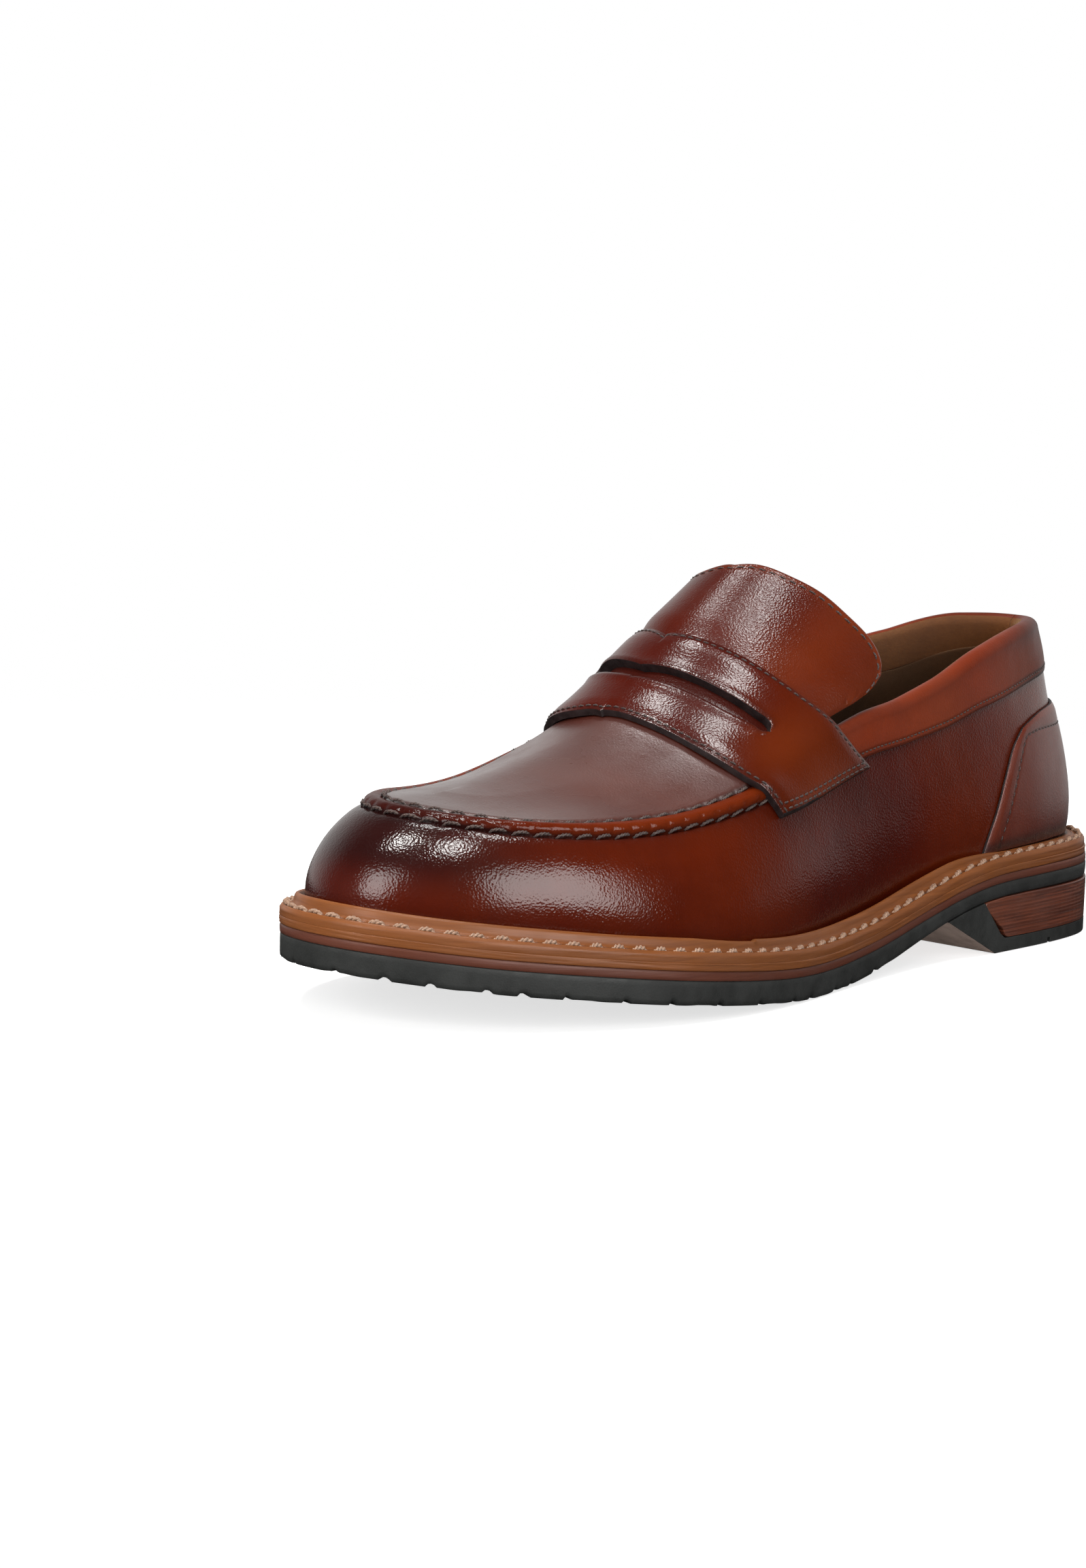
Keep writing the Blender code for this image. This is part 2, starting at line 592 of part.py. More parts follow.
def thread(name, points, look=YARN_LOOK, closed=False, radius=THREAD):
    """A laid thread: a curve with a round bevel."""
    curve = bpy.data.curves.new(name, "CURVE")
    curve.dimensions = "3D"
    curve.bevel_depth = radius * 0.001
    curve.bevel_resolution = 0
    curve.use_fill_caps = not closed
    path = curve.splines.new("POLY")
    path.points.add(len(points) - 1)
    for target, place in zip(path.points, to_world(points)):
        target.co = (*place, 1)
    path.use_cyclic_u = closed
    carrier = bpy.data.objects.new(name + "_path", curve)
    tools.objects.link(carrier)
    graph = bpy.context.evaluated_depsgraph_get()
    mesh = bpy.data.meshes.new_from_object(carrier.evaluated_get(graph))
    bpy.data.objects.remove(carrier, do_unlink=True)
    add_piece(name, mesh, look)


def side_cut(name, profile, inset, look):
    """A block with this side profile of (along, z) points, cut to the sole's plan."""
    half_width = 70.0
    count = len(profile)
    points = [(along, side, z) for side in (-half_width, half_width) for along, z in profile]
    faces = [list(range(count)), list(range(2 * count - 1, count - 1, -1))]
    faces += [[i, i + count, (i + 1) % count + count, (i + 1) % count] for i in range(count)]
    block = add_piece(name, mesh_from(name, points, faces), look, smooth_shade=False)
    face_outwards(block.data)

    plan = around(72, inset)
    count = len(plan)
    points = [(along, side, z) for z in (-5.0, 40.0) for along, side in plan]
    faces = [list(range(count - 1, -1, -1)), list(range(count, 2 * count))]
    faces += [[i, (i + 1) % count, (i + 1) % count + count, i + count] for i in range(count)]
    cutter_mesh = mesh_from(name + "_plan", points, faces)
    face_outwards(cutter_mesh)
    cutter = bpy.data.objects.new(name + "_plan", cutter_mesh)
    tools.objects.link(cutter)
    cutter.hide_render = True
    cutter.display_type = "WIRE"

    cut = block.modifiers.new("plan", "BOOLEAN")
    cut.operation = "INTERSECT"
    cut.solver = "EXACT"
    cut.object = cutter
    graph = bpy.context.evaluated_depsgraph_get()
    mesh = bpy.data.meshes.new_from_object(block.evaluated_get(graph))
    bpy.data.objects.remove(block, do_unlink=True)
    add_piece(name, mesh, look, smooth_shade=False)


# ---------------------------------------------------------------- bottom unit
def layer(name, outline, base, low, high, look, pitch=14.0):
    """A slab whose two faces lie low and high mm above the surface called base."""
    slab(name, outline, lambda along: base(along) + low, lambda along: base(along) + high,
         look, pitch)


slab("outsole", around(84, 0.5), under, lambda along: rubber_top(along) - GAP / 2, OUTSOLE_LOOK)
layer("midsole_red", around(84, 0.3), rubber_top, GAP / 2, RED_MID - GAP / 2, RED_LOOK)
layer("midsole_honey", around(84, 0.0), rubber_top, RED_MID + GAP / 2,
      RED_MID + HONEY_MID - GAP / 2, HONEY_LOOK)


def welt_profile(turn):
    """Corners from the outer foot, over the lip that fades out at the heel, to the inner foot."""
    along = float(outline_at(turn)[0])
    base = float(honey_top(along)) + GAP / 2
    top = base + WELT - GAP / 2
    lip = LIP_H * float(smooth(58, 92, along)) + 0.25
    back = 0.7 * float(smooth(110, 60, along))    # the heel's strip is narrower
    return [(0.5, base), (0.0, base + 0.6), (0.0, top - 0.6), (0.6, top), (3.2, top),
            (3.7 - back * 0.5, top + lip * 0.78), (4.4 - back * 0.5, top + lip),
            (5.2 - back, top + lip * 0.86), (5.9 - back, top + 0.1), (6.2 - back, base)]


ring("welt", welt_profile, 66, HONEY_LOOK)


def under_sole(along):
    """A side-profile point just below the outsole."""
    return along, float(under(along)) - GAP


HEEL_BACK = -5.0      # behind the outline, so that the plan cut sets the shape
side_cut("top_lift",
         [(HEEL_BACK, 0.0), (70.0, 0.0), under_sole(94.6), under_sole(86.0), under_sole(76.5),
          (67.5, LIFT + 1.6), (65.0, LIFT), (HEEL_BACK, LIFT)],
         0.6, TOP_LIFT_LOOK)
side_cut("heel_block",
         [(HEEL_BACK, LIFT + GAP), (64.6, LIFT + GAP), (67.1, LIFT + 1.8), under_sole(75.9),
          under_sole(66.0), (54.0, HEEL_TALL), (HEEL_BACK, HEEL_TALL)],
         1.0, HEEL_LOOK)


def filler_outline():
    """The sole's outline cut square across at both ends, without crowded points."""
    points = around(72, 9.5)
    points[:, 0] = np.clip(points[:, 0], 132, 286)
    kept = [points[0]]
    for point in points[1:]:
        if np.hypot(*(point - kept[-1])) > 0.5:
            kept.append(point)
    if np.hypot(*(kept[0] - kept[-1])) < 0.5:
        kept.pop()
    return np.array(kept)


def shank_outline():
    middle, half_width = 1.5, 7.0
    along = np.linspace(46, 128, 9)
    return np.vstack([np.column_stack([along, np.full(9, middle + half_width)]),
                      np.column_stack([along[::-1], np.full(9, middle - half_width)])])


layer("forepart_filler", filler_outline(), honey_top, GAP, 2.5, FILLER_LOOK, pitch=24)
layer("shank", shank_outline(), honey_top, GAP, 1.6, SHANK_LOOK, pitch=12)
layer("insole_board", around(60, 11.4), honey_top, INSOLE_BASE, INSOLE_BASE + INSOLE,
      INSOLE_LOOK, pitch=24)
SOCK_BASE = INSOLE_BASE + INSOLE + GAP
layer("sock_liner", around(60, 11.8), honey_top, SOCK_BASE, SOCK_BASE + SOCK, SOCK_LOOK, pitch=24)

# ---------------------------------------------------------------- upper
HEEL_STEP = 0.29
heel_stations = HEEL_STEP * np.arange(1, 11)


def vamp_wall():
    """The outer wall, one wrap from heel seam to heel seam, with a bead at the moccasin seam."""
    station = np.r_[0.02, heel_stations, np.linspace(3.4, 6.4, 6), np.linspace(6.9, 11.1, 8),
                    np.linspace(11.5, 17.5, 17), np.linspace(18.0, 22.1, 8),
                    STATION_COUNT - np.linspace(6.4, 3.4, 6),
                    STATION_COUNT - heel_stations[::-1], 28.98][:, None]
    seamed = (station > 6.7) & (station < 22.3)
    top = np.where(seamed, seam_high(station) - 0.045, collar_rise(station) - 0.012)
    plain_rise = np.array([0.0, 0.12, 0.3, 0.5, 0.68, 0.84, 0.90, 0.95, 1.0]) * top
    foot_of_bead = seam_low(station) + 0.03
    seam_rise = np.concatenate([
        foot_of_bead * np.array([0.0, 0.14, 0.34, 0.56, 0.78, 1.0]),
        foot_of_bead + (top - foot_of_bead) * np.array([0.3, 0.7, 1.0])], 1)
    rise = np.where(seamed, seam_rise, plain_rise)
    bead = np.zeros(rise.shape)
    bead[:, 6:8] = BEAD
    bead *= smooth(7.6, 8.4, station) * (1 - smooth(20.3, 21.1, station))
    panel("vamp_wall", station, rise, bead, -UPPER, UPPER_LOOK)


def apron():
    ridge_points = np.r_[np.linspace(174.0, 250, 16), 254, 257, RIDGE_END - 0.9, RIDGE_END - 0.2]
    station, rise = over_ridge(ridge_points, seam_high, 8)
    panel("apron", station, rise, 0.0, -UPPER, APRON_LOOK)


STRAP_END = 0.70      # rise of the strap's two ends
SLOT_OUT, SLOT_IN = 1.25, 1.30    # rise of the slot's two ends


def strap():
    """The strap over the ridge, from the outer end to the inner end, with its slot left open."""
    rise_out = np.r_[np.linspace(STRAP_END, SLOT_OUT, 6), np.linspace(SLOT_OUT, 2.0, 8)[1:]]
    rise_in = np.r_[np.linspace(2.0, SLOT_IN, 8)[1:], np.linspace(SLOT_IN, STRAP_END, 6)[1:]]
    rear = np.r_[strap_rear_out(rise_out), strap_rear_in(rise_in)]
    front = np.r_[strap_front_out(rise_out), strap_front_in(rise_in)]
    middle = 0.5 * (rear + front)
    in_slot = np.r_[rise_out > SLOT_OUT + 0.01, rise_in > SLOT_IN + 0.005]
    slot_rear = np.where(in_slot, np.r_[slot_rear_out(rise_out), slot_rear_in(rise_in)], middle)
    slot_front = np.where(in_slot, np.r_[slot_front_out(rise_out), slot_front_in(rise_in)],
                          middle)
    station = np.array([rear, rear + (slot_rear - rear) * 0.5, slot_rear,
                        slot_front, slot_front + (front - slot_front) * 0.5, front])
    # Between the slot's edges only the cells at its tapering ends are kept.
    slot_or_tip = np.r_[rise_out > SLOT_OUT - 0.01, rise_in > SLOT_IN - 0.005]
    width = np.abs(slot_front - slot_rear)
    keep = np.ones((len(station) - 1, len(rear) - 1), bool)
    keep[2, :] = ~(slot_or_tip[:-1] & slot_or_tip[1:]) & (width[:-1] + width[1:] > 1e-6)
    panel("strap", station, np.r_[rise_out, rise_in][None, :], STRAP_LOW + STRAP, STRAP_LOW,
          UPPER_LOOK, keep)


def tongue_puff(station, rise, part):
    """How far the padded tongue stands proud of the last, most of all on its inner shoulder.

    part is 0 at the free edge, 1 at the strap.
    """
    from_ridge = np.where(station > TOE_STATION, 2 - rise, rise - 2)    # inner side positive
    width = np.where(from_ridge > 0.42, 0.40, 0.62)
    return (PUFF * np.exp(-((from_ridge - 0.42) / width) ** 2) * smooth(1.02, 0.55, part)
            * smooth(1.08, 1.35, rise))


def tongue():
    """The tongue and its lining, from the free edge to just under the strap."""
    rise = np.r_[1.095, 1.11, 1.15, 1.22, np.linspace(1.34, 2.0, 6)]
    free = tongue_edge_out(rise)
    covered = strap_rear_out(rise) - 0.04
    covered[0] = free[0] + 0.30
    free_ridge = ridge_along(free + tongue_inner_cut(rise))
    free = np.r_[free, inner_station(free_ridge[::-1][1:])]
    covered = np.r_[covered, inner_station(ridge_along(covered)[::-1][1:])]
    part = np.linspace(0, 1, 7)[:, None]
    station = free * (1 - part) + covered * part
    rise = np.r_[rise, rise[::-1][1:]][None, :]
    puff = tongue_puff(station, rise, part)
    panel("tongue", station, rise, puff, puff - TONGUE, SOFT_LOOK)
    panel("tongue_lining", station, rise, puff - TONGUE - GAP, puff - 2.6, TONGUE_LINING_LOOK)


def heel_foxing():
    rise = np.array([0.032, 0.12, 0.24, 0.36, 0.46, 0.53, 0.575, 0.60])[:, None]
    station = foxing_edge(rise) * np.linspace(-1, 1, 21)
    panel("heel_foxing", station, rise, GAP + FOXING + 0.05, GAP + 0.15, UPPER_LOOK)


vamp_wall()
apron()
strap()
tongue()
heel_foxing()


# ---------------------------------------------------------------- collar, padding and linings
def collar_section(station, offset, start, tail):
    """Rows of a collar surface, from its seam over the rolled rim and down the inside.

    offset is its distance outside the roll's own skin, start how much rise above the seam it
    begins, and tail how far down inside its last rows lie.
    """
    top = body(station, 1.0)
    up = unit(top - body(station, 0.96))
    normal = body_normal(station, 0.985)
    normal = unit(normal - np.sum(normal * up, -1, keepdims=True) * up)
    seam = collar_rise(station)
    length = np.linalg.norm(top - body(station, seam), axis=-1)
    roll_start = 1.0 - (1.0 - seam) * (ROLL + 1.5) / np.maximum(length, 6)
    rows = []
    for part in np.linspace(0, 1, 4):
        rise = (seam + start) * (1 - part) + roll_start * part
        rows.append(skin(station, rise, offset + COLLAR_PROUD))
    centre = top - up * ROLL - normal * (ROLL - COLLAR_PROUD)
    radius = ROLL + offset
    for angle in np.radians([30, 65, 90, 120, 155, 180]):
        rows.append(centre + radius * (np.cos(angle) * normal + np.sin(angle) * up))
    for drop in tail:
        part = drop / tail[-1]
        rows.append(centre - radius * normal - up * drop + normal * 1.4 * part * part)
    return np.array(rows)


def collar(side, station):
    """One side's collar leather and the padding inside it."""
    outer, inner = (collar_section(station, offset, 0.0, [4.0, 8.0])
                    for offset in (0.0, -COLLAR))
    thicken("collar_" + side, outer, inner, SOFT_LOOK)
    padding = collar_section(station, -1.5, 0.03, [3.0, 6.5])[[0, 2, 4, 6, 8, 9, 11]]
    # The hidden side is a straight line from first row to last, bowed towards the outer side.
    part = np.linspace(0, 1, len(padding))[:, None, None]
    straight = padding[0] * (1 - part) + padding[-1] * part
    thicken("collar_padding_" + side, padding, padding * 0.52 + straight * 0.48, PADDING_LOOK)


def inner_layer(name, station, rise, depth, thickness, look):
    """A sheet hidden inside the upper."""
    panel(name, station[:, None], rise, -depth, -depth - thickness, look)


def quarter_lining(name, station):
    top = collar_rise(np.mod(station, STATION_COUNT)) - 0.075
    rise = np.array([0.04, 0.25, 0.5, 0.75, 1.0]) * top[:, None]
    inner_layer(name, station, rise, LINING_DEPTH, LINING, QUARTER_LINING_LOOK)


def vamp_lining():
    ridge_points = np.r_[np.linspace(178.5, 248, 9), 251.5, 254.5, 256.8, 258.4,
                         RIDGE_END - 0.5, RIDGE_END - 0.12]
    station, rise = over_ridge(ridge_points, lambda _: 0.03, 9)
    panel("vamp_lining", station, rise, -LINING_DEPTH, -LINING_DEPTH - LINING, VAMP_LINING_LOOK)


collar_stations = np.r_[0.02, heel_stations[:7], 2.4, 2.9, np.linspace(3.5, 6.2, 5)]
collar("lateral", collar_stations)
collar("medial", STATION_COUNT - collar_stations[::-1])

quarter_stations = np.r_[1.54, heel_stations[5:], np.linspace(3.5, 6.9, 7)]
quarter_lining("quarter_lining_lateral", quarter_stations)
quarter_lining("quarter_lining_medial", STATION_COUNT - quarter_stations[::-1])
quarter_lining("heel_grip", HEEL_STEP * np.arange(-5, 6))
vamp_lining()
inner_layer("toe_puff", np.linspace(11.5, 17.5, 17), np.array([0.06, 0.25, 0.45, 0.65, 0.80]),
            STIFFENER_DEPTH, 0.45, STIFFENER_LOOK)
inner_layer("heel_counter", HEEL_STEP * np.arange(-10, 11), np.array([0.06, 0.2, 0.35, 0.52]),
            STIFFENER_DEPTH, 0.5, STIFFENER_LOOK)


# ---------------------------------------------------------------- threads
def seam_stitches():
    """The welt's row and the two rows of the moccasin seam."""
    turn = turns(66)
    z = welt_top(outline_at(turn)[:, 0]) + THREAD_LIFT
    thread("welt_stitch", np.column_stack([edge(turn, 1.9), z]), PALE_YARN_LOOK, closed=True)
    toe = np.linspace(12.3, 17, 20)
    station = np.r_[np.linspace(7.95, 12, 18), toe, np.linspace(17.3, 20.75, 15)]
    thread("moc_stitch_vamp", skin(station, seam_low(station), THREAD_LIFT))
    station = np.r_[np.linspace(8.2, 12, 17), toe, np.linspace(17.3, 20.6, 14)]
    thread("moc_stitch_apron", skin(station, seam_high(station) + 0.045, THREAD_LIFT))


def strap_stitches():
    """A row along each edge of the strap and a double row across each end."""
    height = STRAP_LOW + STRAP + THREAD_LIFT
    rise_out = np.linspace(STRAP_END + 0.06, 2.0, 17)
    rise_in = rise_out[::-1][1:]
    rear = np.r_[strap_rear_out(rise_out), strap_rear_in(rise_in)]
    front = np.r_[strap_front_out(rise_out), strap_front_in(rise_in)]
    for end, part in (("rear", 0.075), ("front", 0.925)):
        points = skin(rear * (1 - part) + front * part, np.r_[rise_out, rise_in], height)
        thread("strap_stitch_" + end, points, radius=FINE_THREAD)
    across = np.linspace(0.13, 0.87, 8)
    for side, rear_at, front_at in (("lateral", strap_rear_out, strap_front_out),
                                    ("medial", strap_rear_in, strap_front_in)):
        rows = []
        for rise, part in ((STRAP_END + 0.085, across), (STRAP_END + 0.145, across[::-1])):
            rows.append(skin(rear_at(rise) * (1 - part) + front_at(rise) * part, rise, height))
        thread("strap_end_stitch_" + side, np.vstack(rows), radius=FINE_THREAD)


def tongue_stitch():
    rise = np.r_[1.16, 1.20, 1.27, np.linspace(1.36, 2.0, 8)]
    free = tongue_edge_out(rise) + 0.17
    free[0] += 0.25
    free_ridge = ridge_along(free + tongue_inner_cut(rise))
    ends = np.array([5.5, 6.0])
    station = np.r_[ends[::-1], free, inner_station(free_ridge[::-1][1:]),
                    inner_station(ridge_along(ends))]
    rise = np.r_[1.16, 1.155, rise, rise[::-1][1:], 1.155, 1.16]
    height = THREAD_LIFT + tongue_puff(station, rise, 0.1)
    thread("tongue_stitch", skin(station, rise, height), radius=FINE_THREAD)


def heel_stitches():
    """The collar's rows, the heel patch's row and the zigzag up the back seam."""
    outer = np.r_[0.32, heel_stations[1:], np.linspace(3.4, 5.6, 6)]
    for side, station in (("lateral", outer), ("medial", STATION_COUNT - outer)):
        points = skin(station, collar_rise(station) + 0.03, COLLAR_THREAD_LIFT)
        thread("collar_stitch_" + side, points, radius=COLLAR_THREAD)

    rise = np.array([0.05, 0.12, 0.2, 0.28, 0.36, 0.42, 0.47, 0.505])
    edge_station = foxing_stitch_edge(rise)
    station = np.r_[edge_station, np.linspace(0.72, -0.72, 9), -edge_station[::-1]]
    rise = np.r_[rise, np.full(9, 0.513), rise[::-1]]
    thread("foxing_stitch", skin(station, rise, GAP + FOXING + THREAD_LIFT), radius=FINE_THREAD)

    step = np.arange(9)
    station = np.where(step % 2 == 0, -0.13, 0.13)
    points = skin(station, 0.815 + 0.017 * step, COLLAR_THREAD_LIFT)
    thread("back_seam_stitch", points, radius=COLLAR_THREAD)


seam_stitches()
strap_stitches()
tongue_stitch()
heel_stitches()
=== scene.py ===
# A slip-on leather shoe: a raised seam round the apron, a slotted strap over the instep, a tongue,
# a padded collar, and a welted sole of several layers on a stacked heel.
#
# In the world (metres) it stands on z = 0 with its toe towards -Y and its outer side towards +X.
# The script works in millimetres in the shoe's own frame:
#   run     from the back of the heel (0) to the toe (302)
#   across  sideways, outer side positive
#   z       up from the ground
# Two more pairs of coordinates lie on the shoe itself:
#   tau            once round the sole's outline, 0 to 1: heel, outer side, toe, inner side
#   station, rise  on the upper: station goes the same way round, 0 to 29; rise is 0 where the
#                  upper meets the welt, 1 at the topline or apron edge and 2 at the ridge
import math
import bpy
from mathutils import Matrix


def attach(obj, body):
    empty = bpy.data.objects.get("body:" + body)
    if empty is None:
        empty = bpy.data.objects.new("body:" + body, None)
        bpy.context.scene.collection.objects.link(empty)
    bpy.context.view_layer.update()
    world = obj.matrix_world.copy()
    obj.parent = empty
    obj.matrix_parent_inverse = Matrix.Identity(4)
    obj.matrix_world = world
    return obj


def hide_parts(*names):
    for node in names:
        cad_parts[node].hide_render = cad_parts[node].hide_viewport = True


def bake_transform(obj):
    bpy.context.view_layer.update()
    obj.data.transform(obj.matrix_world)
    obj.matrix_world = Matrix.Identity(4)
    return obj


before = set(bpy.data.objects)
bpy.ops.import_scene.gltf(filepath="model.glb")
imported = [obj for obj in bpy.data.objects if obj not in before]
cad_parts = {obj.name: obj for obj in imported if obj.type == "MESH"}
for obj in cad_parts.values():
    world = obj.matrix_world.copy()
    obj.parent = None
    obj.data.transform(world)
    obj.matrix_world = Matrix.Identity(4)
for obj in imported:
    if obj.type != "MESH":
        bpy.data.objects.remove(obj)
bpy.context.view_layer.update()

from types import SimpleNamespace

import bmesh
import bpy
import numpy as np
from mathutils import Matrix, Vector


DETAIL = 1.0

SHOE, FLAP = "shoe", "tongue_flap"      # the body that pieces move with, and the tongue flap's

# ---------------------------------------------------------------- driving sizes, mm
GAP = 0.3                # between layers of the sole
RED_MID = 2.4            # thickness of the red midsole
HONEY_MID = 2.2          # thickness of the honey midsole
WELT = 3.0               # thickness of the welt
LIP_H = 2.7              # height of the welt's upstanding lip
LIFT = 3.9               # height of the heel's rubber lift
SOCK = 1.2               # thickness of the sock liner
TREAD = 1.5              # depth of the tread
SEAM_PITCH = 6.0         # between stitches of the apron seam
WELT_PITCH = 6.5         # between stitches of the welt
STRAP_END = 0.70         # rise of the strap's two ends
RIDGE_ACROSS = -7.0      # sideways place of the ridge
TOE_STATION = 14.35      # where outer and inner side meet at the toe
UP = np.array([0, 0, 1.0])


# ---------------------------------------------------------------- maths
def detail(count):
    return max(8, int(count * DETAIL))


def spline(knots, values, periodic=False):
    """Cubic spline through values (numbers or vectors) at knots, as a function.

    When periodic, the last value repeats the first.
    """
    knots = np.asarray(knots, float)
    values = np.asarray(values, float)
    flat = values.ndim == 1
    if flat:
        values = values[:, None]
    count = len(knots)
    gap = np.diff(knots)
    slope = np.diff(values, axis=0) / gap[:, None]
    size = count - 1 if periodic else count
    system = np.zeros((size, size)) if periodic else np.eye(size)
    target = np.zeros((size, values.shape[1]))
    for i in range(size) if periodic else range(1, size - 1):
        system[i, i - 1] = gap[i - 1]
        system[i, i] = 2 * (gap[i - 1] + gap[i])
        system[i, (i + 1) % size] = gap[i]
        target[i] = 6 * (slope[i] - slope[i - 1])
    bend = np.linalg.solve(system, target)
    if periodic:
        bend = np.vstack([bend, bend[:1]])

    def at(x):
        x = np.asarray(x, float)
        if periodic:
            x = knots[0] + np.mod(x - knots[0], knots[-1] - knots[0])
        else:
            x = np.clip(x, knots[0], knots[-1])
        i = np.clip(np.searchsorted(knots, x, side="right") - 1, 0, count - 2)
        step = knots[i + 1] - knots[i]
        left = ((knots[i + 1] - x) / step)[..., None]
        right = ((x - knots[i]) / step)[..., None]
        curved = (left ** 3 - left) * bend[i] + (right ** 3 - right) * bend[i + 1]
        step = step[..., None]
        value = left * values[i] + right * values[i + 1] + curved * step * step / 6
        return value[..., 0] if flat else value
    return at


def curve(table):
    """Spline through rows of (x, value) or (x, value, value)."""
    table = np.array(table, float)
    return spline(table[:, 0], table[:, 1] if table.shape[1] == 2 else table[:, 1:])


def unit(v):
    return v / np.maximum(np.linalg.norm(v, axis=-1, keepdims=True), 1e-12)


def smooth(start, end, x):
    """Eased step from 0 at start to 1 at end."""
    k = np.clip((np.asarray(x, float) - start) / (end - start), 0, 1)
    return k * k * (3 - 2 * k)


def bell(x, width):
    """1 at x = 0, falling away over width."""
    return np.exp(-(np.asarray(x, float) / width) ** 2)


def bezier(k, start, pull_start, pull_end, end):
    return ((1 - k) ** 3 * start + 3 * k * (1 - k) ** 2 * pull_start
            + 3 * k * k * (1 - k) * pull_end + k ** 3 * end)


def run_length(points, axis=0):
    """Running length in mm of the lines of points that follow axis."""
    total = np.cumsum(np.linalg.norm(np.diff(points, axis=axis), axis=-1), axis=axis)
    return np.concatenate([np.zeros_like(np.take(total, [0], axis)), total], axis)


def with_z(plan, z):
    return np.concatenate([plan, np.broadcast_to(z, plan.shape[:-1])[..., None]], -1)


def read_at(level, distances, lines):
    """The point of each line at which its distance reaches level."""
    points = []
    for distance, line in zip(distances, lines):
        order = np.argsort(distance, kind="stable")
        points.append([np.interp(level, distance[order], line[order, axis]) for axis in range(3)])
    return np.array(points)


# ---------------------------------------------------------------- the sole's outline and heights
# (run, across) once round, from the back of the heel up the outer side
OUTLINE = [
    (0, -1.0), (4.5, 14.5), (14, 24.5), (30, 30.5), (50, 34.2), (75, 36.6), (100, 38.2),
    (125, 41.2), (150, 46.2), (175, 51.8), (200, 55.2), (225, 54.4), (247, 49.2), (267, 40.8),
    (283, 30.4), (294, 18.5), (300.2, 6.5), (302, -5), (300.2, -15.5), (294, -27), (283, -37.5),
    (267, -46), (247, -51), (225, -52), (200, -49.4), (175, -43.5), (150, -37.6), (125, -34.4),
    (100, -33.8), (75, -34.8), (50, -34.6), (30, -31.6), (14, -25.5), (4.5, -15.8)]
outline_points = np.array(OUTLINE + OUTLINE[:1], float)
outline_length = run_length(outline_points)
outline = spline(outline_length / outline_length[-1], outline_points, periodic=True)


def outward(tau):
    """Level direction out of the sole."""
    ahead = unit(outline(tau + 1e-4) - outline(tau - 1e-4))
    return np.stack([-ahead[..., 1], ahead[..., 0]], -1)


def edge(tau, inset):
    """Point of the outline, moved in by inset mm."""
    tau = np.asarray(tau, float)
    return outline(tau) - outward(tau) * np.asarray(inset, float)[..., None]


# (run, z) of the rubber's underside
under = curve([
    (-20, 16.3), (0, 16.3), (56, 16.3), (74, 15.4), (88, 13.1), (102, 9.6), (114, 6.4),
    (126, 3.5), (140, 1.3), (154, 0.25), (168, 0.1), (182, 0.75), (198, 2.15), (214, 3.75),
    (230, 5.4), (258, 8.4), (285, 11.4), (302, 13.6), (314, 15.0)])


def rubber_top(run):
    thickness = 4.3 + 2.4 * smooth(75, 150, run)
    return under(run) + thickness


def honey_top(run):
    return rubber_top(run) + RED_MID + HONEY_MID


def welt_top(run):
    return honey_top(run) + WELT


def flare(run):
    """The sole stands out a little further round the heel: 1 there, 0 ahead of it."""
    return smooth(70, 18, run)


sample = outline(np.linspace(0, 1, 4001))
MIDDLE_RUN, MIDDLE_ACROSS = (sample.max(0) + sample.min(0)) / 2


def to_world(points):
    points = np.asarray(points, float)
    run, across, z = points[..., 0], points[..., 1], points[..., 2]
    return np.stack([across - MIDDLE_ACROSS, MIDDLE_RUN - run, z], -1) * 0.001


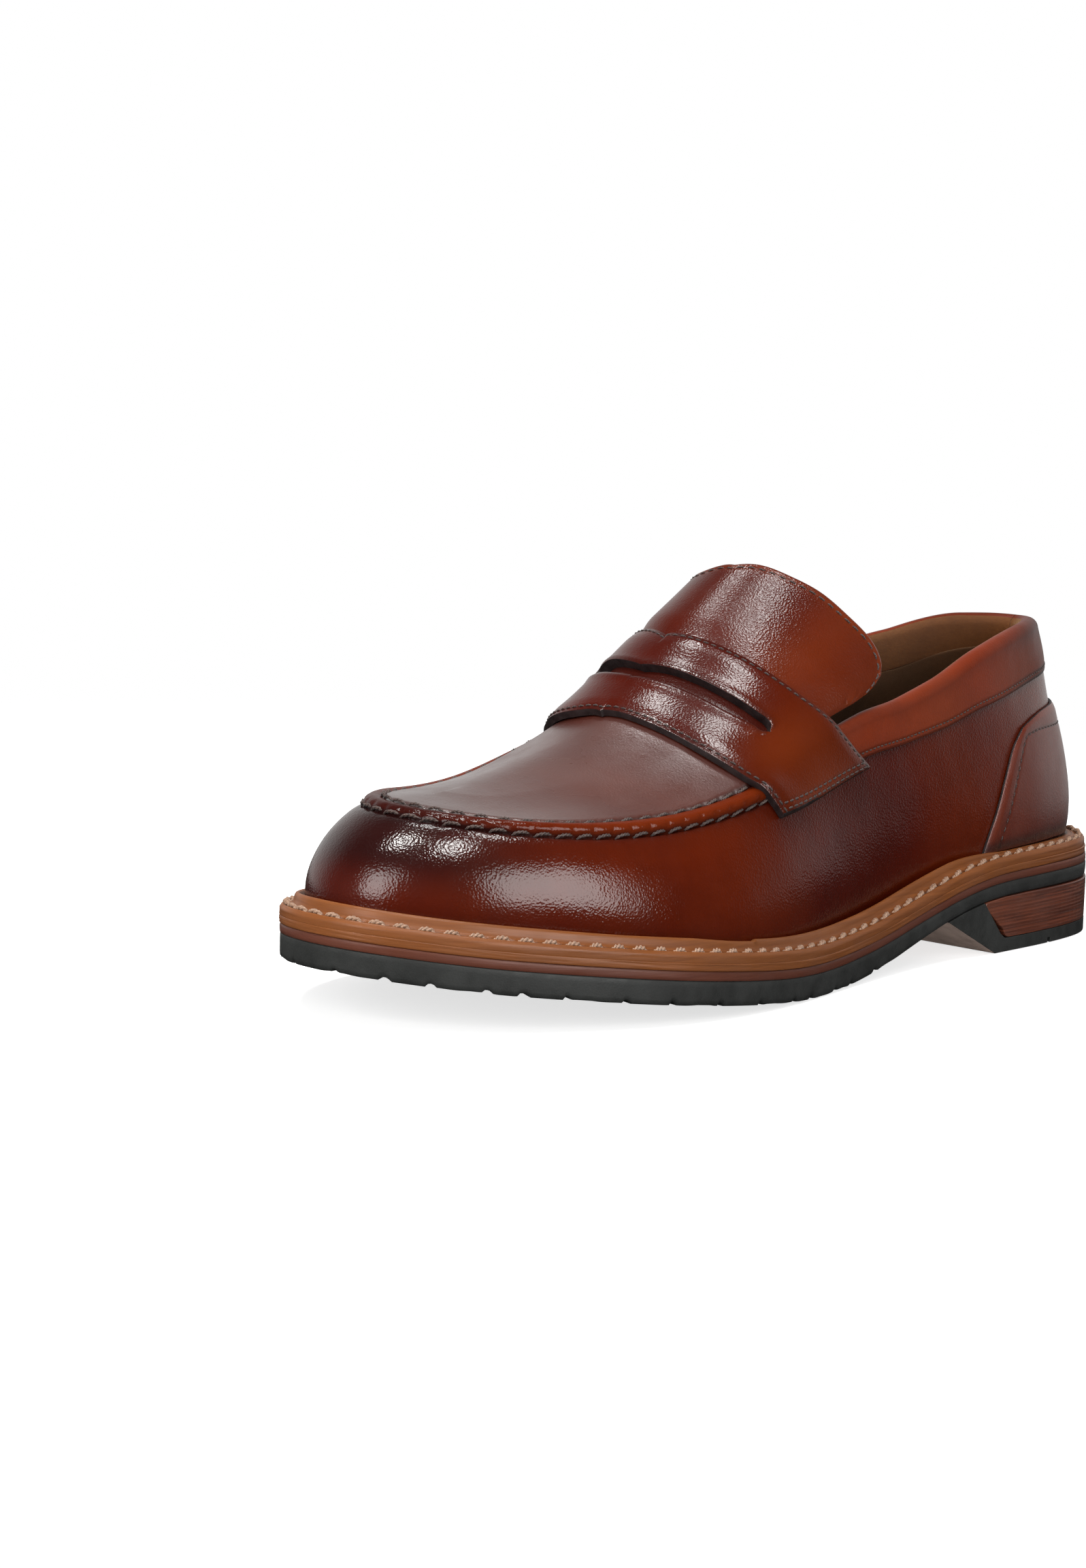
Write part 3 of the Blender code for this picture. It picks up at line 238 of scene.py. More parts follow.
# ---------------------------------------------------------------- the upper's surface
# Each station is a rib in two cubic curves: a wall from the foot to the top edge, and a dome from
# there to the ridge. Columns: foot run and across; top edge run, across and z; run where it meets
# the ridge (None where the shoe is open); lean of the wall at the foot, degrees; foot handle;
# angle of the top edge from the horizontal, degrees; top handle; dome handle at the top edge;
# dome handle at the ridge. Handles in mm.
STATIONS = [
    (6.5, -1.0, 12.5, -1.0, 91.8, None, 12, 28, 99, 22, 8, 8),
    (15.5, 19.5, 21.5, 12.6, 91.8, None, 13, 28, 103, 24, 8, 8),
    (34.0, 26.5, 42.0, 20.8, 90.7, None, 9, 27, 103, 20, 8, 8),
    (62.0, 30.0, 66.0, 27.0, 87.2, None, 8, 24, 101, 18, 8, 8),
    (90.0, 32.0, 95.0, 31.0, 80.6, 134.0, 8, 22, 98, 16, 22, 22),
    (116.0, 34.5, 122.0, 33.2, 74.6, 146.0, 10, 20, 93, 14, 19, 21),
    (140.0, 38.5, 144.0, 34.2, 69.4, 165.0, 12, 18, 84, 12, 15, 20),
    (162.0, 42.5, 166.0, 35.6, 62.5, 178.5, 13, 16, 66, 11, 12, 18),
    (184.0, 47.0, 187.0, 37.0, 56.4, 194.5, 14, 15, 46, 9, 10, 16),
    (205.0, 48.2, 208.0, 36.4, 52.2, 212.0, 15, 14, 32, 8, 9, 14),
    (226.0, 47.0, 228.0, 34.0, 50.5, 229.0, 15, 13, 26, 8, 9, 11),
    (246.0, 42.2, 247.0, 29.6, 50.6, 243.0, 15, 13, 22, 8, 8, 9),
    (264.0, 35.4, 262.0, 22.6, 51.4, 252.0, 14, 13, 20, 8, 7, 7),
    (280.0, 24.4, 272.0, 12.8, 52.5, 257.0, 13, 13, 18, 8, 6, 6),
    (292.5, 6.0, 276.6, 1.0, 53.3, 259.5, 12, 13, 17, 8, 5, 5),
    (292.8, -13.5, 275.8, -10.5, 53.5, 259.0, 12, 13, 17, 8, 5, 5),
    (281.0, -30.0, 268.0, -20.5, 53.2, 256.0, 13, 13, 18, 8, 6, 6),
    (265.0, -39.0, 254.5, -27.6, 52.4, 249.0, 14, 13, 20, 8, 7, 7),
    (246.0, -43.8, 239.0, -31.4, 52.0, 240.0, 15, 13, 24, 8, 8, 8),
    (225.0, -45.0, 221.5, -33.0, 53.6, 227.0, 15, 14, 28, 8, 8, 9),
    (203.0, -42.5, 204.0, -32.6, 58.4, 212.5, 14, 16, 34, 9, 8, 10),
    (181.0, -37.5, 186.0, -31.8, 64.4, 194.0, 13, 18, 50, 10, 10, 11),
    (159.0, -32.5, 166.0, -32.0, 69.4, 178.5, 13, 19, 74, 12, 15, 15),
    (137.0, -29.0, 145.0, -33.0, 72.8, 165.0, 12, 20, 88, 13, 19, 19),
    (112.0, -27.8, 122.0, -33.0, 76.4, 146.0, 11, 21, 95, 14, 24, 22),
    (88.0, -28.0, 96.0, -31.0, 81.0, 134.0, 10, 22, 98, 16, 26, 22),
    (60.0, -28.6, 66.0, -27.0, 87.2, None, 8, 24, 100, 18, 8, 8),
    (33.0, -26.0, 42.0, -22.4, 90.7, None, 9, 27, 102, 20, 8, 8),
    (15.0, -19.5, 21.5, -14.2, 91.8, None, 12, 28, 102, 22, 8, 8),
]
LAP = len(STATIONS)
closed_stations = [k for k, row in enumerate(STATIONS) if row[5] is not None]
FIRST_CLOSED, LAST_CLOSED = closed_stations[0], closed_stations[-1]

# (run, z) of the ridge along the top of the foot
ridge = curve([
    (118, 123.5), (128, 117.8), (139, 110.8), (148, 104.6), (157, 98.2), (165.5, 92.0),
    (178, 82.2), (190, 73.6), (210, 64.8), (230, 59.6), (245, 57.0), (262, 55.6), (275, 55.4)])

# (z, mm): how far the back of the heel sits inside the plain curves
heel_inset = curve([
    (0, 0.8), (27.6, 0.8), (40, 1.4), (48, 1.6), (56, 1.25), (64, 0.7), (71, 0.15), (76, 0.0),
    (82, 0.7), (86, 1.7), (91.8, 3.4), (130, 3.4)])


def station_taus():
    """Where on the outline each station's foot falls, always further round than the last."""
    taus = np.linspace(0, 1, 2001)[:-1]
    points = edge(taus, 6.5)
    found, last = [], -0.01
    for k, row in enumerate(STATIONS):
        distance = np.hypot(points[:, 0] - row[0], points[:, 1] - row[1])
        distance[taus < last + 0.004] = 1e9
        if k == 0:
            distance[taus >= 0.02] = 1e9
        last = taus[np.argmin(distance)]
        found.append(last)
    return np.array([0.0] + found[1:])


tau_at = spline(np.arange(LAP + 1), np.r_[station_taus(), 1.0])
rib_shape = spline(np.arange(LAP + 1), [row[2:5] + row[6:] for row in STATIONS + STATIONS[:1]],
                   periodic=True)
ridge_run = spline(closed_stations, [STATIONS[k][5] for k in closed_stations])


def rib(station):
    """The seven control points of a rib, from the foot to the ridge."""
    lap = np.mod(station, LAP)
    tau = tau_at(lap)
    run = outline(tau)[..., 0]
    foot = with_z(edge(tau, 6.9 - 0.8 * smooth(110, 60, run)), welt_top(run) - 0.6)
    out = with_z(outward(tau), 0.0)
    shape = rib_shape(station)
    top = shape[..., :3]
    lean, foot_pull, angle, top_pull, dome_pull, ridge_pull = (
        shape[..., k:k + 1] for k in range(3, 9))
    meets = ridge_run(lap)
    crown = np.stack([meets, np.full_like(meets, RIDGE_ACROSS), ridge(meets)], -1)
    # the top edge leans towards the ridge, or straight in where the shoe is open
    to_crown = crown - top
    to_crown[..., 2] = 0
    to_crown = unit(to_crown)
    closed = (smooth(FIRST_CLOSED - 1.6, FIRST_CLOSED + 0.6, lap)
              * (1 - smooth(LAST_CLOSED - 0.6, LAST_CLOSED + 1.6, lap)))[..., None]
    inward = unit(to_crown * closed - out * (1 - closed))
    lean, angle = np.radians(lean), np.radians(angle)
    climb = inward * np.cos(angle) + UP * np.sin(angle)
    slope = (ridge(meets + 0.5) - ridge(meets - 0.5))[..., None]
    level = crown[..., :2] - top[..., :2]
    arrive = unit(np.concatenate([level, slope * level[..., :1]], -1))
    return (foot, foot + foot_pull * (UP * np.cos(lean) + out * np.sin(lean)),
            top - top_pull * climb, top, top + dome_pull * climb,
            crown - ridge_pull * arrive, crown)


def settle(points):
    """Draw the back of the heel in, and lower the topline on both sides."""
    run, across, z = points[..., 0], points[..., 1], points[..., 2]
    pull = (1 - smooth(18, 50, run)) * heel_inset(z)
    to_run, to_across = 38.0 - run, -across
    reach = np.maximum(np.hypot(to_run, to_across), 1e-6)
    # the inner side dips more than the outer
    dip = (3.1 * smooth(27, 54, run) * (1 - smooth(75, 125, run))
           * smooth(0, 10, -across) * smooth(45, 85, z))
    dip = dip + (1.4 * smooth(72, 95, run) * (1 - smooth(112, 132, run))
                 * smooth(6, 18, across) * smooth(50, 74, z))
    return points + np.stack([to_run / reach * pull, to_across / reach * pull, -dip], -1)


def body(station, rise):
    """Point of the upper's outer surface; station and rise broadcast together."""
    foot, foot_handle, top_handle, top, dome_handle, ridge_handle, crown = rib(station)
    rise = np.asarray(rise, float)[..., None]
    wall = bezier(np.minimum(rise, 1), foot, foot_handle, top_handle, top)
    dome = bezier(np.clip(rise - 1, 0, 1), top, dome_handle, ridge_handle, crown)
    return settle(np.where(rise <= 1, wall, dome))


def body_normal(station, rise, step=0.01):
    rise = np.minimum(rise, 1.985)
    round_ = body(station + 3 * step, rise) - body(station - 3 * step, rise)
    upward = body(station, rise + step) - body(station, rise - step)
    return unit(np.cross(upward, round_))


def skin(station, rise, height):
    """Point height mm off the surface."""
    height = np.asarray(height, float)[..., None]
    return body(station, rise) + body_normal(station, rise) * height


def fold(station):
    """The outer side's station that faces the given one."""
    return np.where(station > LAP / 2, LAP - station, station)


# ---------------------------------------------------------------- lines on the upper
# (rise, station) of the strap's rear and front edges, on each side of the shoe
strap_rear_outer = curve([
    (0.60, 5.40), (0.70, 5.56), (0.80, 5.78), (1.0, 6.11), (1.12, 6.27), (1.25, 6.40),
    (1.4, 6.46), (1.6, 6.44), (1.8, 6.33), (2.0, 6.12)])
strap_front_outer = curve([
    (0.60, 7.54), (0.74, 7.66), (0.86, 7.78), (1.0, 7.91), (1.15, 8.00), (1.35, 8.06),
    (1.6, 8.06), (1.8, 8.02), (1.92, 7.985), (2.0, 7.98)])
strap_rear_inner = curve([
    (0.60, 23.45), (0.75, 23.2), (1.0, 22.85), (1.25, 22.62), (1.5, 22.56), (1.75, 22.62),
    (2.0, 22.80)])
strap_front_inner = curve([
    (0.60, 21.25), (0.75, 21.10), (1.0, 20.90), (1.25, 20.76), (1.5, 20.75), (1.75, 20.84),
    (1.92, 20.94), (2.0, 20.955)])
# (rise, rear station, front station) of the strap's slot
slot_outer = curve([
    (1.25, 7.16, 7.18), (1.32, 7.11, 7.32), (1.41, 7.10, 7.40), (1.57, 7.09, 7.44),
    (1.73, 7.05, 7.43), (1.90, 6.98, 7.38), (2.0, 6.94, 7.33)])
slot_inner = curve([
    (1.30, 21.76, 21.74), (1.40, 21.84, 21.56), (1.55, 21.86, 21.50), (1.7, 21.88, 21.51),
    (1.85, 21.93, 21.57), (2.0, 22.04, 21.69)])
# (rise, stations) half the slot's opening
slot_half_outer = curve([
    (1.22, 0.0), (1.24, 0.065), (1.29, 0.105), (1.40, 0.122), (1.6, 0.130), (1.8, 0.135),
    (2.0, 0.138)])
slot_half_inner = curve([
    (1.27, 0.0), (1.29, 0.07), (1.34, 0.11), (1.45, 0.125), (1.65, 0.132), (1.8, 0.132),
    (2.0, 0.130)])
# (station, rise) of the collar's lower edge
collar_edge = curve([
    (0.0, 0.80), (1.2, 0.765), (2.4, 0.715), (3.4, 0.715), (4.4, 0.745), (5.4, 0.765),
    (6.6, 0.77), (22.4, 0.77), (23.6, 0.765), (24.6, 0.745), (25.6, 0.715), (26.6, 0.715),
    (27.8, 0.765), (29.0, 0.80)])
# (station, rise) of the apron seam's lower and upper rows of stitches
seam_low = curve([
    (6, 0.84), (7, 0.84), (9, 0.84), (11, 0.838), (12.5, 0.865), (14, 0.89), (15, 0.905),
    (16, 0.89), (17.5, 0.865), (19, 0.842), (22, 0.84), (23, 0.84)])
seam_high = curve([
    (6, 0.97), (7, 0.985), (8.6, 1.01), (10, 1.03), (11.5, 1.045), (13, 1.115), (14, 1.16),
    (15, 1.19), (16, 1.15), (17.5, 1.055), (19, 1.03), (22, 1.0), (23, 0.98)])

inner_stations = np.linspace(TOE_STATION, LAST_CLOSED, 3000)
inner_meets = np.maximum.accumulate(-ridge_run(inner_stations))


def inner_facing(run):
    """The inner side's station whose rib meets the ridge at run."""
    return np.interp(-np.asarray(run, float), inner_meets, inner_stations)


# ---------------------------------------------------------------- grids on the surface
def rib_lengths(stations, low, high, count=160):
    """Rises from low to high on each rib, and the length in mm up to each of them."""
    low, high = (np.broadcast_to(rise, stations.shape)[:, None] for rise in (low, high))
    rises = low + (high - low) * np.linspace(0, 1, count)[None, :]
    return rises, run_length(body(stations[:, None], rises), axis=1)


def rise_at(rises, lengths, distances):
    """Rise at each distance from the start of its rib; negative ones lie before the start."""
    found = np.empty(distances.shape)
    for i, distance in enumerate(distances):
        found[i] = np.interp(distance, lengths[i], rises[i])
        before = distance < 0
        slope = (rises[i, 1] - rises[i, 0]) / max(lengths[i, 1], 1e-9)
        found[i][before] = rises[i, 0] + distance[before] * slope
    return found


def even(start, stop, count, rise=0.6):
    """Stations evenly spaced in mm."""
    fine = np.linspace(start, stop, 4000)
    length = run_length(body(fine, rise))
    return np.interp(np.linspace(0, length[-1], count), length, fine)


def wobble(points, size, seed):
    """A slow, shallow unevenness about size mm wide, between about -1 and 1."""
    run, across, z = points[..., 0] / size, points[..., 1] / size, points[..., 2] / size
    waves = (np.sin(1.7 * run + 0.9 * across + seed)
             + np.sin(-1.1 * run + 1.9 * across + 1.3 * z + 2 * seed + 1.0)
             + np.sin(2.3 * z - 0.7 * run + 0.4 * across + 3 * seed + 2.1)
             + 0.6 * np.sin(3.1 * run - 2.2 * z + 5 * seed))
    return waves / 3.6


# ---------------------------------------------------------------- meshes
def add_object(name, data):
    obj = bpy.data.objects.new(name, data)
    bpy.context.scene.collection.objects.link(obj)
    return obj


def apply_modifiers(obj):
    bpy.context.view_layer.update()
    evaluated = obj.evaluated_get(bpy.context.evaluated_depsgraph_get())
    data = bpy.data.meshes.new_from_object(evaluated)
    obj.modifiers.clear()
    obj.data = data


def register(obj, replaces=(), blend=None):
    if blend:
        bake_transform(obj)
    else:
        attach(obj, SHOE)
    if replaces:
        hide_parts(*replaces)


def shade_smooth(mesh):
    mesh.polygons.foreach_set("use_smooth", np.ones(len(mesh.polygons), bool))


def round_edges(obj, width, segments, angle):
    """Bevel edges sharper than angle degrees by width mm."""
    bevel = obj.modifiers.new("round", "BEVEL")
    bevel.width = width * 0.001
    bevel.segments = segments
    bevel.limit_method = "ANGLE"
    bevel.angle_limit = math.radians(angle)
    return bevel


def build(name, points, faces, mats, slot, mat_index=None, attrs=None, bevel=None,
          smooth_shade=True, replaces=(), blend=None):
    """A mesh object from points in mm. bevel holds round_edges' arguments."""
    mesh = bpy.data.meshes.new(name)
    faces = [list(map(int, face)) for face in faces]
    mesh.from_pydata(to_world(points).tolist(), [], faces)
    for mat in mats:
        mesh.materials.append(mat)
    if mat_index is not None:
        mesh.polygons.foreach_set("material_index", np.asarray(mat_index, np.int32))
    if smooth_shade:
        shade_smooth(mesh)
    for key, values in (attrs or {}).items():
        attribute = mesh.attributes.new(key, "FLOAT", "POINT")
        attribute.data.foreach_set("value", np.asarray(values, np.float32).ravel())
    mesh.update()
    work = bmesh.new()
    work.from_mesh(mesh)
    loose = [vert for vert in work.verts if not vert.link_faces]
    if loose:
        bmesh.ops.delete(work, geom=loose, context="VERTS")
    if work.calc_volume(signed=True) < 0:
        bmesh.ops.reverse_faces(work, faces=work.faces)
    work.to_mesh(mesh)
    work.free()
    obj = add_object(name, mesh)
    if bevel:
        modifier = round_edges(obj, **bevel)
        modifier.miter_outer = "MITER_ARC"
        modifier.use_clamp_overlap = True
        apply_modifiers(obj)
        if smooth_shade:
            shade_smooth(obj.data)
    register(obj, replaces, blend)


def finish_and_shade(burnish_and_shade, warm=0.0, dull=0.0):
    """Attributes the leathers read: the first darkens, for burnish and on some pieces for painted
    shade; warm lightens, dull takes off the polish.
    """
    return {"burnish_and_shade": burnish_and_shade, "warm": warm + 0 * burnish_and_shade, "dull": dull + 0 * burnish_and_shade}


def sheet(name, outer, inner, mats, cell_mat=None, back_mat=0, keep=None, wrap=False,
          attrs=None, **kw):
    """A closed sheet between two matching grids.

    cell_mat gives each outer cell its material; back_mat is on the inside and the cut edges.
    keep masks the cells that exist; wrap joins the last row to the first.
    """
    size = outer.shape[0] * outer.shape[1]
    # corners closer than 0.004 mm are one
    keys = np.round(outer.reshape(-1, 3) / 0.004).astype(np.int64)
    _, first, back = np.unique(keys, axis=0, return_index=True, return_inverse=True)
    ids = first[back.ravel()].reshape(outer.shape[:2])
    if wrap:
        ids = np.vstack([ids, ids[:1]])
    cells = np.stack([ids[:-1, :-1], ids[1:, :-1], ids[1:, 1:], ids[:-1, 1:]], -1).reshape(-1, 4)
    cell_mats = np.zeros(len(cells), int) if cell_mat is None else cell_mat.ravel()
    if keep is not None:
        cells, cell_mats = cells[keep.ravel()], cell_mats[keep.ravel()]
    faces, mat_index = [], []
    for cell, mat in zip(cells.tolist(), cell_mats.tolist()):
        face = [v for k, v in enumerate(cell) if v != cell[k - 1]]
        if len(set(face)) >= 3 and len(set(face)) == len(face):
            faces.append(face)
            mat_index.append(mat)
    uses = {}
    for face in faces:
        for a, b in zip(face, face[1:] + face[:1]):
            uses.setdefault((min(a, b), max(a, b)), []).append((a, b))
    rim = [use[0] for use in uses.values() if len(use) == 1]
    back_faces = [[v + size for v in reversed(face)] for face in faces]
    rim_faces = [[b, a, a + size, b + size] for a, b in rim]
    if attrs:
        attrs = {key: np.tile(np.ravel(values), 2) for key, values in attrs.items()}
    build(name, np.vstack([outer.reshape(-1, 3), inner.reshape(-1, 3)]),
          faces + back_faces + rim_faces, mats,
          mat_index=mat_index + [back_mat] * (len(back_faces) + len(rim_faces)),
          attrs=attrs, **kw)


def grid_faces(rows, cols, close_rows=True, close_cols=True):
    """Quads of a grid of points, joined end to end where closed."""
    i, j = np.meshgrid(np.arange(rows if close_rows else rows - 1),
                       np.arange(cols if close_cols else cols - 1), indexing="ij")
    next_i, next_j = (i + 1) % rows, (j + 1) % cols
    quads = [i * cols + j, next_i * cols + j, next_i * cols + next_j, i * cols + next_j]
    return np.stack(quads, -1).reshape(-1, 4).tolist()


def tube_faces(rows, cols):
    """Faces of an open run of closed sections, capped at both ends."""
    return grid_faces(rows, cols, close_rows=False) + [
        list(range(cols))[::-1], list(range((rows - 1) * cols, rows * cols))]


def stitches(name, path, normals, pitch, length, radius, lift, mat=None, sink=0.35, ply=2,
             slant=0.0, closed=False, seg=7, sides=6, twist=1.2, slot="dark_thread", **kw):
    """Separate stitches along a path: each rises out of one hole and dives into the next.

    lift and sink are heights above and below the path, slant the sideways lean of each end,
    twist the length of one turn of a two-ply thread; all in mm.
    """
    travelled = run_length(path)
    total = travelled[-1]
    count = int(round(total / pitch)) if closed else int(total // pitch)
    step = total / count if closed else pitch

    def at(distance, values):
        distance = distance % total if closed else distance
        return np.stack([np.interp(distance, travelled, values[:, k]) for k in range(3)], -1)

    x = np.linspace(-1, 1, seg)
    middles = (np.arange(count) + 0.5) * step
    if not closed:
        middles = middles[(middles > length / 2) & (middles < total - length / 2)]
    jitter = np.random.default_rng(7).normal(0, 1, (len(middles), 3))
    distance = middles[:, None] + x[None, :] * (length / 2) * (1 + 0.04 * jitter[:, :1])
    normal = unit(at(distance, normals))
    side = unit(np.cross(normal, unit(at(distance + 0.3, path) - at(distance - 0.3, path))))
    arch = (1 - x ** 2)[None, :, None]
    lean = (slant * x)[None, :, None] * (1 + 0.1 * jitter[:, 1][:, None, None])
    centre = at(distance, path) + normal * ((lift + sink) * arch ** 0.6 - sink) + side * lean
    thickness = radius * (0.55 + 0.45 * (1 - x ** 4))
    angles = np.linspace(0, 2 * np.pi, sides, endpoint=False)[None, None, :, None]
    around_ring = (normal[:, :, None, :] * np.cos(angles) + side[:, :, None, :] * np.sin(angles))
    strands = []
    for strand in range(ply):
        middle, thick = centre, thickness
        if ply > 1:
            angle = (2 * np.pi * (x * length / 2) / twist + strand * np.pi)[None, :, None]
            middle = centre + (normal * np.cos(angle) + side * np.sin(angle)) * (radius * 0.48)
            thick = thickness * 0.68
        strands.append(middle[:, :, None, :] + around_ring * thick[None, :, None, None])
    tubes = np.concatenate(strands)
    one = tube_faces(seg, sides)
    faces = [[v + k * seg * sides for v in face] for k in range(len(tubes)) for face in one]
    build(name, tubes.reshape(-1, 3), faces, [mat or FINE_YARN], slot, **kw)


# ---------------------------------------------------------------- shader nodes
def scaled(colour, factor):
    return tuple(factor * c for c in colour)


class Nodes:
    """Short forms for the nodes of one material or world."""

    def __init__(self, owner, coords="Object"):
        self.owner = owner
        owner.use_nodes = True
        self.tree = owner.node_tree
        self.tree.nodes.clear()
        self.coords = self.node("TexCoord", output=coords)

    def new(self, kind, inputs=None, **props):
        node = self.tree.nodes.new("ShaderNode" + kind)
        for key, value in props.items():
            setattr(node, key, value)
        for key, value in (inputs or {}).items():
            socket = node.inputs[key]
            if isinstance(value, bpy.types.NodeSocket):
                self.tree.links.new(value, socket)
            elif socket.type == "RGBA":
                socket.default_value = (*value, 1)
            else:
                socket.default_value = value
        return node

    def node(self, kind, inputs=None, output=0, **props):
        return self.new(kind, inputs, **props).outputs[output]

    def mapping(self, scale):
        return self.node("Mapping", {"Scale": scale, "Vector": self.coords})

    def noise(self, scale, detail=3, rough=0.5, vec=None, distortion=0.0):
        return self.node("TexNoise", {
            "Scale": scale, "Detail": detail, "Roughness": rough, "Distortion": distortion,
            "Vector": vec or self.coords}, "Fac")

    def voronoi(self, scale, feature="F1", **inputs):
        return self.node("TexVoronoi", {"Scale": scale, "Vector": self.coords, **inputs},
                         "Distance", feature=feature)

    def attr(self, name):
        return self.node("Attribute", output="Fac", attribute_name=name)

    def math(self, operation, first, second):
        return self.node("Math", {0: first, 1: second}, operation=operation)

    def plus(self, first, second):
        return self.math("ADD", first, second)

    def times(self, first, second):
        return self.math("MULTIPLY", first, second)

    def ramp(self, value, over, to=(0.0, 1.0)):
        """Eased step of value, from to[0] at over[0] to to[1] at over[1]."""
        return self.node("MapRange", {
            "From Min": over[0], "From Max": over[1], "To Min": to[0], "To Max": to[1],
            "Value": value}, interpolation_type="SMOOTHSTEP")

    def mix(self, factor, first, second):
        return self.node("Mix", {0: factor, 6: first, 7: second}, 2, data_type="RGBA")

    def mix_shader(self, factor, first, second):
        return self.node("MixShader", {0: factor, 1: first, 2: second})

    def bump(self, height, strength, distance, normal=None):
        inputs = {"Strength": strength, "Distance": distance, "Height": height}
        if normal is not None:
            inputs["Normal"] = normal
        return self.node("Bump", inputs)

    def surface(self, inputs):
        """Finish a material with a Principled shader."""
        self.new("OutputMaterial", {0: self.node("BsdfPrincipled", inputs)})
        return self.owner


# ---------------------------------------------------------------- materials
MIDDLE = (0.3, 0.7)      # the part of a noise's range that most masks are taken from
# the dark brown that burnish, pores and painted shade mix towards
DARK_BROWN = (0.012, 0.003, 0.003)


def new_material(name):
    return Nodes(bpy.data.materials.new(name))


def leather(name, base, deep, warm, roughness, coat, coat_roughness, specular,
            pebble=1.0, grain=1.0):
    """Burnished calf: uneven dye, darker where polish collects and where painted shade is put, fine
    pebble and pores.
    """
    m = new_material(name)
    large = m.noise(scale=26, detail=4, rough=0.55)
    fine = m.noise(scale=160, detail=5, rough=0.6)
    colour = m.mix(m.ramp(large, over=MIDDLE, to=(0.45, 1.0)), deep, base)
    patches = m.ramp(m.noise(scale=11, detail=2), over=(0.45, 0.75))
    colour = m.mix(m.times(patches, 0.35), colour, warm)
    colour = m.mix(m.ramp(fine, over=(0.25, 0.75), to=(0.0, 0.22)), colour, deep)
    colour = m.mix(m.attr("warm"), colour, warm)
    # darker with burnish, and with painted shade on some pieces
    colour = m.mix(m.attr("burnish_and_shade"), colour, DARK_BROWN)
    pores = m.ramp(m.voronoi(scale=1500), over=(0.0, 0.22), to=(1.0, 0.0))
    colour = m.mix(m.times(pores, 0.35), colour, DARK_BROWN)
    rough = m.ramp(m.noise(scale=70, detail=4, rough=0.6), over=MIDDLE,
                   to=(roughness - 0.05, roughness + 0.07))
    smears = m.ramp(m.noise(scale=45, rough=0.6), over=MIDDLE,
                    to=(coat_roughness * 0.8, coat_roughness * 1.5))
    cells = m.voronoi(scale=1650 / grain, feature="SMOOTH_F1", Smoothness=0.6)
    small_cells = m.voronoi(scale=3200 / grain)
    wrinkles = m.noise(scale=1300 / grain, rough=0.6, distortion=0.8)
    soft = m.noise(scale=190, detail=2)
    pebbles = m.plus(m.times(cells, 1.0), m.times(small_cells, 0.35))
    pebbles = m.plus(pebbles, m.times(wrinkles, 0.5))
    normal = m.bump(pebbles, strength=0.40 * pebble, distance=0.00011)
    normal = m.bump(soft, strength=0.10, distance=0.0004, normal=normal)
    normal = m.bump(pores, strength=0.2, distance=-0.0001, normal=normal)
    coat_pebbles = m.plus(m.times(cells, 0.9), m.times(wrinkles, 0.5))
    coat_normal = m.bump(coat_pebbles, strength=0.42 * pebble, distance=0.00012)
    return m.surface({
        "Base Color": colour,
        "Roughness": m.plus(rough, m.times(m.attr("dull"), 0.18)),
        "Specular IOR Level": specular,
        "Coat Weight": m.times(m.math("SUBTRACT", 1.0, m.attr("dull")), coat),
        "Coat Roughness": smears,
        "Coat IOR": 1.5,
        "Normal": normal,
        "Coat Normal": m.bump(soft, strength=0.10, distance=0.0004, normal=coat_normal)})


def edge_paint(name, colour):
    m = new_material(name)
    return m.surface({
        "Base Color": m.mix(m.ramp(m.noise(scale=300, detail=4), over=MIDDLE),
                            colour, scaled(colour, 2.6)),
        "Roughness": m.ramp(m.noise(scale=500), over=MIDDLE, to=(0.38, 0.6)),
        "Normal": m.bump(m.noise(scale=1400, detail=4, rough=0.7),
                         strength=0.5, distance=0.00025)})


def suede(name, base, dark):
    m = new_material(name)
    fibres = m.noise(scale=1500, detail=5, rough=0.75, vec=m.mapping((1, 0.35, 1)))
    colour = m.mix(m.ramp(m.noise(scale=34, detail=4, rough=0.6), over=MIDDLE), dark, base)
    colour = m.mix(m.ramp(fibres, over=(0.3, 0.8), to=(0.0, 0.45)), colour, dark)
    normal = m.bump(fibres, strength=0.55, distance=0.0003)
    return m.surface({
        "Base Color": colour,
        "Roughness": 0.82,
        "Specular IOR Level": 0.25,
        "Sheen Weight": 0.35,
        "Sheen Roughness": 0.45,
        "Sheen Tint": (0.8, 0.55, 0.3),
        "Normal": m.bump(m.noise(scale=260), strength=0.3, distance=0.0008, normal=normal)})


def cut_leather(name, base, dark, stripe=1.0):
    """Waxed cut edge with long, faint level grain; the attribute dark darkens it: stain on the
    midsoles and at the welt's joint, painted shade in the welt's channel and behind its lip.
    """
    m = new_material(name)
    grain = m.noise(scale=1.0, detail=6, rough=0.7, vec=m.mapping((18, 18, 900)), distortion=0.6)
    fine = m.noise(scale=1.0, detail=4, rough=0.65, vec=m.mapping((90, 90, 2600)))
    colour = m.mix(m.ramp(grain, over=(0.3, 0.72), to=(0.0, 0.62 * stripe)), base, dark)
    colour = m.mix(m.ramp(m.noise(scale=24), over=(0.35, 0.75), to=(0.0, 0.45)),
                   colour, scaled(base, 0.72))
    colour = m.mix(m.times(m.ramp(fine, over=(0.5, 0.75)), 0.28), colour, dark)
    colour = m.mix(m.times(m.attr("dark"), 0.85), colour, scaled(dark, 0.35))
    normal = m.bump(grain, strength=0.12, distance=0.00025)
    return m.surface({
        "Base Color": colour,
        "Roughness": m.ramp(m.noise(scale=120, detail=4), over=MIDDLE, to=(0.36, 0.52)),
        "Coat Weight": 0.08,
        "Coat Roughness": 0.35,
        "Specular IOR Level": 0.25,
        "Normal": m.bump(fine, strength=0.18, distance=0.0002, normal=normal)})


